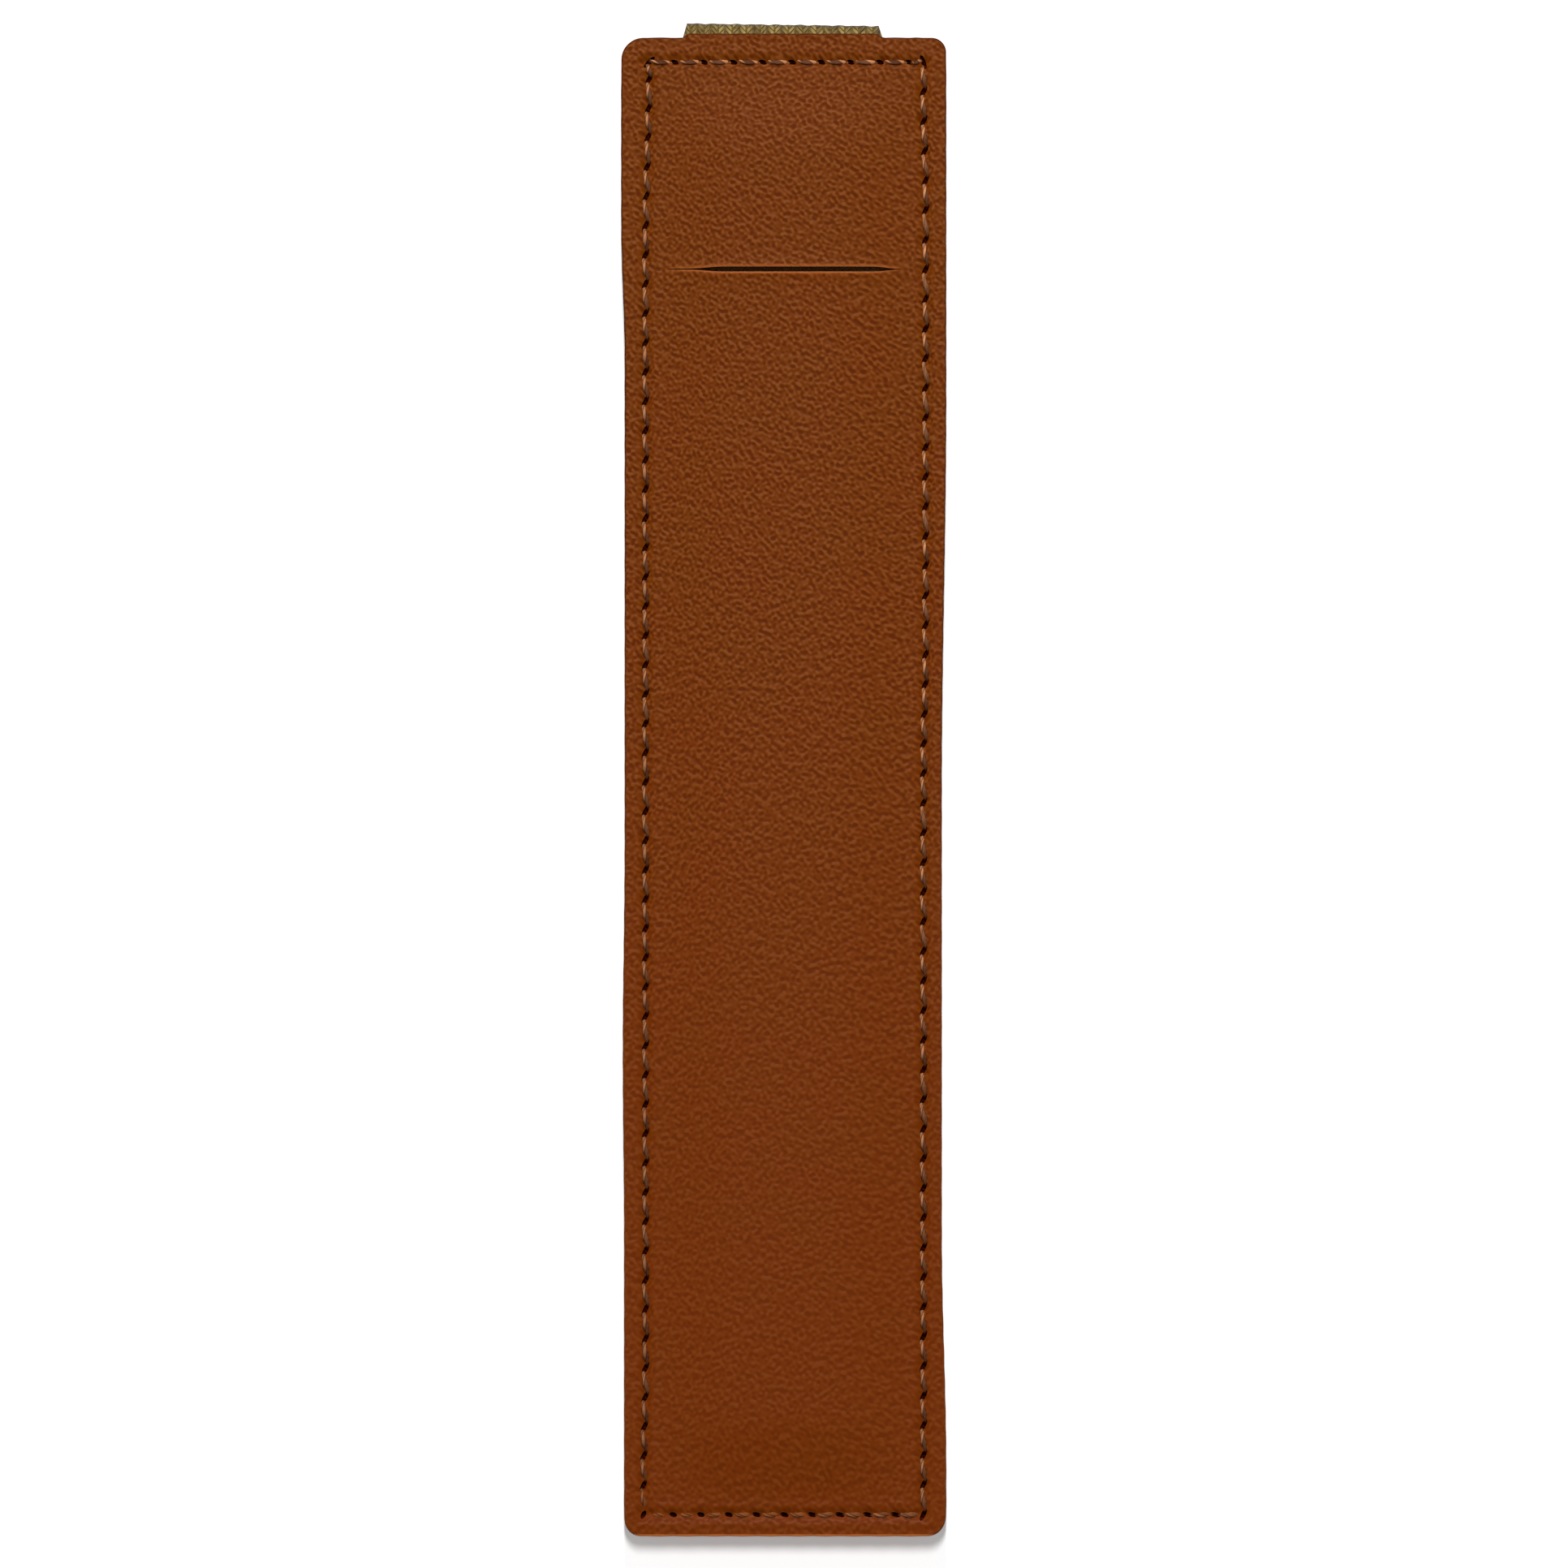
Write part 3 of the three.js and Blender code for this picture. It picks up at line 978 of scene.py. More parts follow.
    def _slit_quads(self, upper_ids: Grid, lower_ids: Grid) -> Grid:
        """List the quads of the slit's two walls.

        Args:
            upper_ids: point numbers of the upper face
            lower_ids: point numbers of the lower face

        Returns:
            the corners of each quad
        """
        begin, end = self.slit_columns
        walls = []
        for row, order in ((self.slit_row, 1), (self.slit_row + 1, -1)):
            top = upper_ids[row, begin : end + 1]
            bottom = lower_ids[row, begin : end + 1]
            wall = np.stack([top[:-1], top[1:], bottom[1:], bottom[:-1]], axis=1)
            walls.append(wall[:, ::order])
        return np.concatenate(walls)

    def _to_object(
        self,
        points: Grid,
        quads: dict[SheetFace, Grid],
        materials: dict[SheetFace, bpy.types.Material],
    ) -> bpy.types.Object:
        """Make the mesh and its object, without the points that no face uses.

        Args:
            points: all points
            quads: the corners of the quads of each kind of face
            materials: the material of each kind of face

        Returns:
            the object
        """
        faces = np.concatenate(list(quads.values()))
        kinds = np.concatenate([np.full(len(part), kind.value) for kind, part in quads.items()])
        used, renumbered = np.unique(faces, return_inverse=True)
        mesh = bpy.data.meshes.new(self.name)
        mesh.from_pydata(points[used].tolist(), [], renumbered.reshape(faces.shape).tolist())
        for kind in SheetFace:
            mesh.materials.append(materials[kind])
        mesh.polygons.foreach_set("material_index", kinds.astype(np.int32))
        mesh.polygons.foreach_set("use_smooth", np.ones(len(faces), bool))
        mesh.set_sharp_from_angle(angle=SHARP_ANGLE)
        return place_in_scene(self.name, mesh)


def work_in_modifiers(piece: bpy.types.Object) -> None:
    """Give an object the plain mesh that its modifiers make of it, and take them off.

    Args:
        piece: the object
    """
    depsgraph = bpy.context.evaluated_depsgraph_get()
    mesh = bpy.data.meshes.new_from_object(piece.evaluated_get(depsgraph))
    piece.modifiers.clear()
    earlier = piece.data
    piece.data = mesh
    bpy.data.meshes.remove(earlier)
    mesh.name = piece.name


def grow(carrier: bpy.types.Object, tree: bpy.types.NodeTree, values: dict[str, object]) -> bpy.types.Object:
    """Run a geometry tree on a carrier of points and keep its result as the carrier's plain mesh.

    Args:
        carrier: an object whose mesh holds the points and their attributes
        tree: the geometry node group
        values: the group's inputs by name

    Returns:
        the carrier, with the grown mesh and no modifier
    """
    modifier = carrier.modifiers.new(tree.name, "NODES")
    modifier.node_group = tree
    for socket in tree.interface.items_tree:
        if socket.in_out == "INPUT" and socket.name in values:
            modifier[socket.identifier] = values[socket.name]
    work_in_modifiers(carrier)
    return carrier


def mark_points(mesh: bpy.types.Mesh, name: str, rule: Callable[[Grid, Grid, Grid], Grid]) -> None:
    """Store a number on every point of a mesh, for its material to read.

    Args:
        mesh: the mesh
        name: the attribute's name
        rule: gives the number from the points' x, y and z
    """
    places = np.empty(len(mesh.vertices) * 3)
    mesh.vertices.foreach_get("co", places)
    x, y, z = places.reshape(-1, 3).T
    marks = mesh.attributes.new(name, "FLOAT", "POINT")
    marks.data.foreach_set("value", rule(x, y, z).astype(np.float32))


@dataclass
class SeamPoints:
    """Places on the seam, with the way that each one faces, for the geometry trees to grow on."""

    places: list[tuple[float, float, float]] = field(default_factory=list)
    facings: list[tuple[float, float, float]] = field(default_factory=list)
    reaches: list[float] = field(default_factory=list)
    sunk: list[float] = field(default_factory=list)
    levels: list[float] = field(default_factory=list)

    def add(
        self,
        place: tuple[float, float, float],
        roll: float,
        heading: float,
        reach: float,
        sunk: float = 0.0,
        level: float = 0.0,
    ) -> None:
        """Add a place.

        Args:
            place: the place itself
            roll: its turn about its row
            heading: the row's heading
            reach: its length as a share of the usual one
            sunk: how far the leather has closed over it, from 0 to 1
            level: 1 where the pale ply's painted highlight shows at both ends of its stitch, and otherwise 0
        """
        self.places.append(place)
        self.facings.append((roll, 0.0, heading))
        self.reaches.append(reach)
        self.sunk.append(sunk)
        self.levels.append(level)

    def carrier(self, name: str) -> bpy.types.Object:
        """Make the object that carries the points and their attributes.

        Args:
            name: the object's name

        Returns:
            the object, whose mesh has points alone
        """
        mesh = bpy.data.meshes.new(name)
        mesh.from_pydata(self.places, [], [])
        facing = mesh.attributes.new("facing", "FLOAT_VECTOR", "POINT")
        facing.data.foreach_set("vector", np.array(self.facings, np.float32).ravel())
        for label, numbers in (("reach", self.reaches), ("sunk", self.sunk), ("level", self.levels)):
            attribute = mesh.attributes.new(label, "FLOAT", "POINT")
            attribute.data.foreach_set("value", np.array(numbers, np.float32))
        return place_in_scene(name, mesh)


@dataclass(frozen=True)
class EdgeBow:
    """A stretch where a side edge or a row is drawn in, or let out where its depth is below 0.

    It has its full depth between two places along the sleeve and fades out beyond them.
    """

    depth: float
    foot_from: float
    foot_full: float
    mouth_full: float
    mouth_from: float

    def inward(self, y: Grid) -> Grid:
        """Find how far it is drawn in at each place along the sleeve."""
        return self.depth * plateau(y, self.foot_from, self.foot_full, self.mouth_full, self.mouth_from)


@dataclass(frozen=True)
class SeamRow:
    """One row of the seam: even stitches, with a short one first or last if asked, and perhaps a sway."""

    start: tuple[float, float]
    heading: float
    length: float
    count: int
    first_short: float = 0.0
    last_short: float = 0.0
    stitch_turn: float = 0.0
    hole_turn: float = 0.0
    last_hole_turn: float = 0.0
    hole_reach: float = 1.0
    bows: tuple[EdgeBow, ...] = ()
    on_end: bool = False
    level: float = 0.0

    def holes(self) -> Grid:
        """Give each hole's distance from the row's start."""
        even = np.linspace(self.first_short, self.length - self.last_short, self.count + 1)
        return np.unique(np.concatenate([[0.0], even, [self.length]]))

    def phase(self, along: Grid) -> Grid:
        """Count the stitches up to each distance along the row."""
        holes = self.holes()
        return np.interp(along, holes, np.arange(len(holes)))

    def inward(self, y: Grid) -> Grid:
        """Find how far the row sways towards the sleeve's middle."""
        return sum(bow.inward(y) for bow in self.bows)

    def place(self, along: float) -> tuple[float, float]:
        """Find a place on the row.

        Args:
            along: its distance from the row's start

        Returns:
            its x and y
        """
        x = self.start[0] + along * math.cos(self.heading)
        y = self.start[1] + along * math.sin(self.heading)
        return x - math.copysign(1, x) * self.inward(y), y


LEFT_ROW_BOWS = (
    EdgeBow(0.4 * MM, foot_from=54 * MM, foot_full=76 * MM, mouth_full=80 * MM, mouth_from=90 * MM),
    EdgeBow(-0.2 * MM, foot_from=-90 * MM, foot_full=-80 * MM, mouth_full=-72 * MM, mouth_from=-60 * MM),
)
RIGHT_ROW_BOWS = (
    EdgeBow(-0.22 * MM, foot_from=2 * MM, foot_full=14 * MM, mouth_full=62 * MM, mouth_from=70 * MM),
)


@dataclass
class Seam:
    """The lockstitch seam: needle holes, and a row of stitches on each side of the sleeve."""

    sizes: SleeveSizes
    stitch_length: float = 3.0 * MM
    thread_breadth: float = 0.68 * MM
    thread_thickness: float = 0.5 * MM
    dive: float = 1.5 * MM
    path_points: int = 12
    thread_sides: int = 8
    hole_sides: int = 10
    stitch_slant: float = 0.3 * MM
    hole_length: float = 1.6 * MM
    hole_width: float = 0.5 * MM
    side_hole_turn: float = math.radians(-26)
    foot_hole_turn: float = math.radians(-14)
    foot_hole_reach: float = 0.8
    mouth_hole_turn: float = math.radians(-15)
    mouth_hole_reach: float = 0.56
    left_corner_turn: float = math.radians(-45)
    right_corner_turn: float = math.radians(20)
    left_count: int = 49
    left_short: float = 1.75 * MM
    right_count: int = 49
    foot_count: int = 10
    mouth_count: int = 9
    mouth_short: float = 1.45 * MM
    mouth_slim: float = 0.16
    twist_turns: float = 1.2
    wander: float = math.radians(4)
    elastic_sink: float = 0.27 * MM
    drop: float = 0.29 * MM
    stretch: float = 0.04 * MM
    sunk_reach: float = 26.0 * MM
    sunk_depth: float = 0.26 * MM
    foot_row_sunk: float = 0.3
    side_row_sunk: float = 0.6
    side_row_reach: float = 7.0 * MM
    closed_share: float = 0.4

    def __post_init__(self) -> None:
        """Lay out the rows and build the geometry trees."""
        self.row_x = self.sizes.row_x
        self.row_y = self.sizes.row_y + self.stretch
        self.rows = self._rows()
        self.stitch_tree = self._stitch_tree()
        self.hole_tree = self._hole_tree()

    def pull(self, x: Grid, y: Grid) -> tuple[Grid, Grid]:
        """Measure how near each point is to the seam.

        Args:
            x: places across the sleeve
            y: places along the sleeve

        Returns:
            the distance to the nearest row, and the nearness along it to a hole, from 0 to 1
        """
        left, right, foot, mouth = self.rows
        level = y + self.drop
        inward = np.where(x < 0, left.inward(y), right.inward(y))
        along_gap = np.hypot(np.abs(x) + inward - self.row_x, np.maximum(np.abs(level) - self.row_y, 0))
        across_gap = np.hypot(np.abs(level) - self.row_y, np.maximum(np.abs(x) - self.row_x, 0))
        up = level + self.row_y
        over = self.row_x - x
        along_phase = np.where(x < 0, left.phase(up), right.phase(up))
        across_phase = np.where(level < 0, foot.phase(over), mouth.phase(over))
        phase = np.where(along_gap < across_gap, along_phase, across_phase)
        return np.minimum(along_gap, across_gap), 0.5 + 0.5 * np.cos(FULL_TURN * phase)

    def _rows(self) -> tuple[SeamRow, SeamRow, SeamRow, SeamRow]:
        """Lay out the rows; the sides run to the mouth end, and the ends run to the left.

        Returns:
            the left, right, foot and mouth rows
        """
        foot_y = -self.row_y - self.drop
        on_side = {"heading": math.pi / 2, "length": 2 * self.row_y, "hole_turn": self.side_hole_turn}
        straightened = -math.atan2(self.stitch_slant, self.stitch_length / 2)
        on_end = {"heading": math.pi, "length": 2 * self.row_x, "stitch_turn": straightened, "on_end": True}
        left = SeamRow(
            start=(-self.row_x, foot_y),
            count=self.left_count,
            last_short=self.left_short,
            last_hole_turn=self.left_corner_turn,
            bows=LEFT_ROW_BOWS,
            **on_side,
        )
        right = SeamRow(
            start=(self.row_x, foot_y),
            count=self.right_count,
            last_hole_turn=self.right_corner_turn,
            bows=RIGHT_ROW_BOWS,
            **on_side,
        )
        foot = SeamRow(
            start=(self.row_x, foot_y),
            count=self.foot_count,
            hole_turn=self.foot_hole_turn,
            hole_reach=self.foot_hole_reach,
            **on_end,
        )
        mouth = SeamRow(
            start=(self.row_x, self.row_y - self.drop),
            count=self.mouth_count,
            first_short=self.mouth_short,
            hole_turn=self.mouth_hole_turn,
            hole_reach=self.mouth_hole_reach,
            level=1.0,
            **on_end,
        )
        return left, right, foot, mouth

    def _sunk(self, side: Side, x: float, y: float) -> float:
        """Find how far a stitch has sunk into the front, on the foot row and beside its left corner.

        Args:
            side: the side of the sleeve
            x: the stitch's place across the sleeve
            y: its place along the sleeve

        Returns:
            0 for a stitch that lies on the leather, 1 for one that has sunk fully
        """
        if side is Side.BACK:
            return 0.0
        from_corner = math.hypot(x + self.row_x, y + self.row_y + self.drop)
        if y < -self.row_y:
            near_corner = max(0.0, 1 - from_corner / self.sunk_reach)
            return self.foot_row_sunk + (1 - self.foot_row_sunk) * near_corner
        return self.side_row_sunk * max(0.0, 1 - from_corner / self.side_row_reach)

    def _stitch_height(self, side: Side, x: float, on_end: bool) -> float:
        """Find the height of a stitch's middle.

        Args:
            side: the side of the sleeve
            x: the stitch's place across the sleeve
            on_end: whether it is in an end row, where the back has the elastic under it

        Returns:
            the height
        """
        sizes = self.sizes
        if side is Side.FRONT:
            return sizes.front_outer
        reach = self.stitch_length / 2
        over_elastic = sizes.elastic_left - reach < x < sizes.elastic_right + reach
        return self.elastic_sink if on_end and over_elastic else sizes.back_outer

    def build_stitches(self, side: Side, name: str, thread: bpy.types.Material) -> bpy.types.Object:
        """Sew the stitches that show on one side.

        Args:
            side: the side of the sleeve
            name: the piece's name
            thread: the thread's material

        Returns:
            the stitches as one mesh
        """
        roll = 0.0 if side is Side.FRONT else math.pi
        points = SeamPoints()
        for row in self.rows:
            holes = row.holes()
            for begin, end in zip(holes[:-1], holes[1:]):
                x, y = row.place((begin + end) / 2)
                sunk = self._sunk(side, x, y)
                z = self._stitch_height(side, x, row.on_end) - self.sunk_depth * sunk
                heading = row.heading + side.value * row.stitch_turn
                reach = (end - begin) / self.stitch_length
                points.add((x, y, z), roll, heading, reach, sunk, row.level)
        values = {
            "Stitch length": self.stitch_length,
            "Dive": self.dive,
            "Slant": self.stitch_slant,
            "Thread width": self.thread_breadth,
            "Thread thickness": self.thread_thickness,
            "Twist": self.twist_turns * FULL_TURN,
            "Wander": self.wander,
            "Slim": self.mouth_slim,
            "Thread": thread,
        }
        return grow(points.carrier(name), self.stitch_tree, values)

    def cut_holes(
        self, side: Side, panel: bpy.types.Object, low: float, high: float, wall: bpy.types.Material
    ) -> None:
        """Pierce a panel with the slanted needle holes, shorter where the stitches have sunk.

        Args:
            side: the side of the sleeve that the panel is on
            panel: the panel's object
            low: height below the panel
            high: height above the panel
            wall: the material of the holes' walls
        """
        points = SeamPoints()
        middle = (low + high) / 2
        for row in self.rows:
            holes = row.holes()
            for along in holes[1:-1] if row.on_end else holes:
                x, y = row.place(along)
                turn = row.last_hole_turn if along == row.length else row.hole_turn
                reach = row.hole_reach * (1 - self.closed_share * self._sunk(side, x, y))
                points.add((x, y, middle), 0.0, row.heading + turn, reach)
        values = {
            "Hole length": self.hole_length,
            "Hole width": self.hole_width,
            "Depth": high - low,
            "Wall": wall,
        }
        cutter = grow(points.carrier("needle_holes"), self.hole_tree, values)
        modifier = panel.modifiers.new("needle holes", "BOOLEAN")
        modifier.operation = "DIFFERENCE"
        modifier.solver = "MANIFOLD"
        modifier.material_mode = "TRANSFER"
        modifier.object = cutter
        work_in_modifiers(panel)
        panel.data.set_sharp_from_angle(angle=SHARP_ANGLE)
        bpy.data.objects.remove(cutter)

    def _stitch_tree(self) -> bpy.types.NodeTree:
        """Build the tree that sews one arched, twisted stitch on every point.

        Returns:
            the geometry tree
        """
        lengths = ("Stitch length", "Dive", "Slant", "Thread width", "Thread thickness")
        numbers = (*lengths, "Twist", "Wander", "Slim")
        tree = new_group(
            "Stitches",
            "GeometryNodeTree",
            {
                "Points": "NodeSocketGeometry",
                **dict.fromkeys(numbers, "NodeSocketFloat"),
                "Thread": "NodeSocketMaterial",
            },
            {"Stitches": "NodeSocketGeometry"},
        )
        bench = NodeBench(tree)
        given = bench.add("NodeGroupInput").outputs
        share = bench.add("GeometryNodeSplineParameter").outputs["Factor"]
        path = self._stitch_path(bench, given, share)
        kept_along = self._keep(bench, path, "Along", share)
        circle = bench.add(
            "GeometryNodeCurvePrimitiveCircle",
            {"Resolution": self.thread_sides, "Radius": 0.5},
        )
        flattened = bench.vector(given["Thread width"], given["Thread thickness"], 1.0)
        oval = bench.add("GeometryNodeTransform", {"Geometry": circle.outputs[0], "Scale": flattened})
        kept_round = self._keep(bench, oval.outputs[0], "Round", share)
        strand = bench.add(
            "GeometryNodeCurveToMesh",
            {"Curve": kept_along[0], "Profile Curve": kept_round[0], "Fill Caps": True},
        )
        mapped = bench.add(
            "GeometryNodeStoreNamedAttribute",
            {
                "Geometry": strand.outputs[0],
                "Name": "UVMap",
                "Value": bench.vector(kept_along[1], kept_round[1]),
            },
            data_type="FLOAT2",
            domain="CORNER",
        )
        instances = self._instances(bench, given, mapped.outputs[0], given["Wander"], given["Slim"])
        shade = bench.add("FunctionNodeRandomValue", {"Seed": SHADE_SEED}, data_type="FLOAT")
        shaded = bench.add(
            "GeometryNodeStoreNamedAttribute",
            {"Geometry": instances, "Name": "shade", "Value": shade.outputs[1]},
            data_type="FLOAT",
            domain="INSTANCE",
        )
        self._finish_tree(bench, shaded.outputs[0], given["Thread"])
        return tree

    def _stitch_path(
        self, bench: NodeBench, given: bpy.types.NodeOutputs, share: bpy.types.NodeSocket
    ) -> bpy.types.NodeSocket:
        """Lay the curve of one stitch: an arch that slants across its row and dives at both ends.

        Args:
            bench: the tree's bench
            given: the group's inputs
            share: the share of the way along a curve

        Returns:
            the twisted curve
        """
        ends = {"Start": (-0.5, 0.0, 0.0), "End": (0.5, 0.0, 0.0)}
        line = bench.add("GeometryNodeCurvePrimitiveLine", ends)
        path = bench.add("GeometryNodeResampleCurve", {"Curve": line.outputs[0], "Count": self.path_points})
        centred = bench.math("SUBTRACT", bench.product(share, 2.0), 1.0)
        along = bench.product(centred, 0.5, given["Stitch length"])
        aside = bench.product(centred, given["Slant"])
        bent = bench.math("POWER", bench.math("ABSOLUTE", centred), 2.0)
        down = bench.product(bent, given["Dive"], -1.0)
        place = bench.vector(along, aside, down)
        arched = bench.add("GeometryNodeSetPosition", {"Geometry": path.outputs[0], "Position": place})
        twist = bench.product(share, given["Twist"])
        return bench.add("GeometryNodeSetCurveTilt", {"Curve": arched.outputs[0], "Tilt": twist}).outputs[0]

    @staticmethod
    def _keep(
        bench: NodeBench, curve: bpy.types.NodeSocket, label: str, value: bpy.types.NodeSocket
    ) -> bpy.types.NodeOutputs:
        """Keep a number on the points of a curve, for use once the curve has become a mesh.

        Args:
            bench: the tree's bench
            curve: the curve
            label: the number's label
            value: the number

        Returns:
            the curve and the kept number
        """
        kept = bench.add("GeometryNodeCaptureAttribute", {0: curve}, domain="POINT")
        kept.capture_items.new("FLOAT", label)
        bench.feed(kept.inputs[1], value)
        return kept.outputs

    def _hole_tree(self) -> bpy.types.NodeTree:
        """Build the tree that sets one oval cutter on every point.

        Returns:
            the geometry tree
        """
        tree = new_group(
            "Needle holes",
            "GeometryNodeTree",
            {
                "Points": "NodeSocketGeometry",
                **dict.fromkeys(("Hole length", "Hole width", "Depth"), "NodeSocketFloat"),
                "Wall": "NodeSocketMaterial",
            },
            {"Cutters": "NodeSocketGeometry"},
        )
        bench = NodeBench(tree)
        given = bench.add("NodeGroupInput").outputs
        post = bench.add(
            "GeometryNodeMeshCylinder",
            {"Vertices": self.hole_sides, "Radius": 0.5, "Depth": given["Depth"]},
        )
        oval = bench.vector(given["Hole length"], given["Hole width"], 1.0)
        cutter = bench.add("GeometryNodeTransform", {"Geometry": post.outputs[0], "Scale": oval})
        instances = self._instances(bench, given, cutter.outputs[0], 0.0, 0.0)
        self._finish_tree(bench, instances, given["Wall"])
        return tree

    @staticmethod
    def _instances(
        bench: NodeBench,
        given: bpy.types.NodeOutputs,
        shape: bpy.types.NodeSocket,
        wander: object,
        slim: object,
    ) -> bpy.types.NodeSocket:
        """Set a shape on every point, by the points' own facing, reach and level.

        Args:
            bench: the tree's bench
            given: the group's inputs
            shape: the geometry to set
            wander: the most that a shape may stray from its heading, either way
            slim: the share of its breadth that a shape loses at level 1

        Returns:
            the instances
        """
        facing, reach, level = (
            bench.add("GeometryNodeInputNamedAttribute", {"Name": name}, data_type=data_type).outputs[0]
            for name, data_type in (("facing", "FLOAT_VECTOR"), ("reach", "FLOAT"), ("level", "FLOAT"))
        )
        span = {"Min": -1.0, "Max": 1.0, "Seed": WANDER_SEED}
        stray = bench.add("FunctionNodeRandomValue", span, data_type="FLOAT").outputs[1]
        extra = bench.vector(z=bench.product(stray, wander))
        angles = bench.add("ShaderNodeVectorMath", {0: facing, 1: extra}, operation="ADD")
        rotation = bench.add("FunctionNodeEulerToRotation", {0: angles.outputs[0]})
        breadth = bench.math("SUBTRACT", 1.0, bench.product(level, slim))
        return bench.add(
            "GeometryNodeInstanceOnPoints",
            {
                "Points": given["Points"],
                "Instance": shape,
                "Rotation": rotation.outputs[0],
                "Scale": bench.vector(reach, breadth, 1.0),
            },
        ).outputs[0]

    @staticmethod
    def _finish_tree(
        bench: NodeBench, instances: bpy.types.NodeSocket, material: bpy.types.NodeSocket
    ) -> None:
        """End a tree: real meshes, shaded smooth, with their material.

        Args:
            bench: the tree's bench
            instances: the instances to make real
            material: their material
        """
        real = bench.add("GeometryNodeRealizeInstances", {"Geometry": instances})
        smooth = bench.add("GeometryNodeSetShadeSmooth", {"Geometry": real.outputs[0]})
        dressed = bench.add("GeometryNodeSetMaterial", {"Geometry": smooth.outputs[0], "Material": material})
        bench.add("NodeGroupOutput", {0: dressed.outputs[0]})


LEFT_BOWS = (
    EdgeBow(0.36 * MM, foot_from=-40 * MM, foot_full=-5 * MM, mouth_full=44 * MM, mouth_from=58 * MM),
    EdgeBow(0.3 * MM, foot_from=-90 * MM, foot_full=-80 * MM, mouth_full=-45 * MM, mouth_from=-20 * MM),
)
RIGHT_BOWS = (
    EdgeBow(0.46 * MM, foot_from=-70 * MM, foot_full=-46 * MM, mouth_full=0.0, mouth_from=40 * MM),
)


@dataclass(frozen=True)
class HideWave:
    """A slow wave in the hide, by its lengths across and along the sleeve."""

    across: float
    along: float
    phase: float

    def height(self, x: Grid, y: Grid) -> Grid:
        """Find its height, from -1 to 1."""
        return np.sin(FULL_TURN * (x / self.across + y / self.along) + self.phase)


HIDE_WAVES = (
    HideWave(across=37 * MM, along=61 * MM, phase=0.0),
    HideWave(across=23 * MM, along=-43 * MM, phase=1.3),
)
# Distances of the grid's rows from a lip of the mouth, closest where the lip rounds over.
LIP_ROWS = np.array([0.0, 0.03, 0.07, 0.12, 0.19, 0.29, 0.43, 0.62, 0.88, 1.2]) * MM


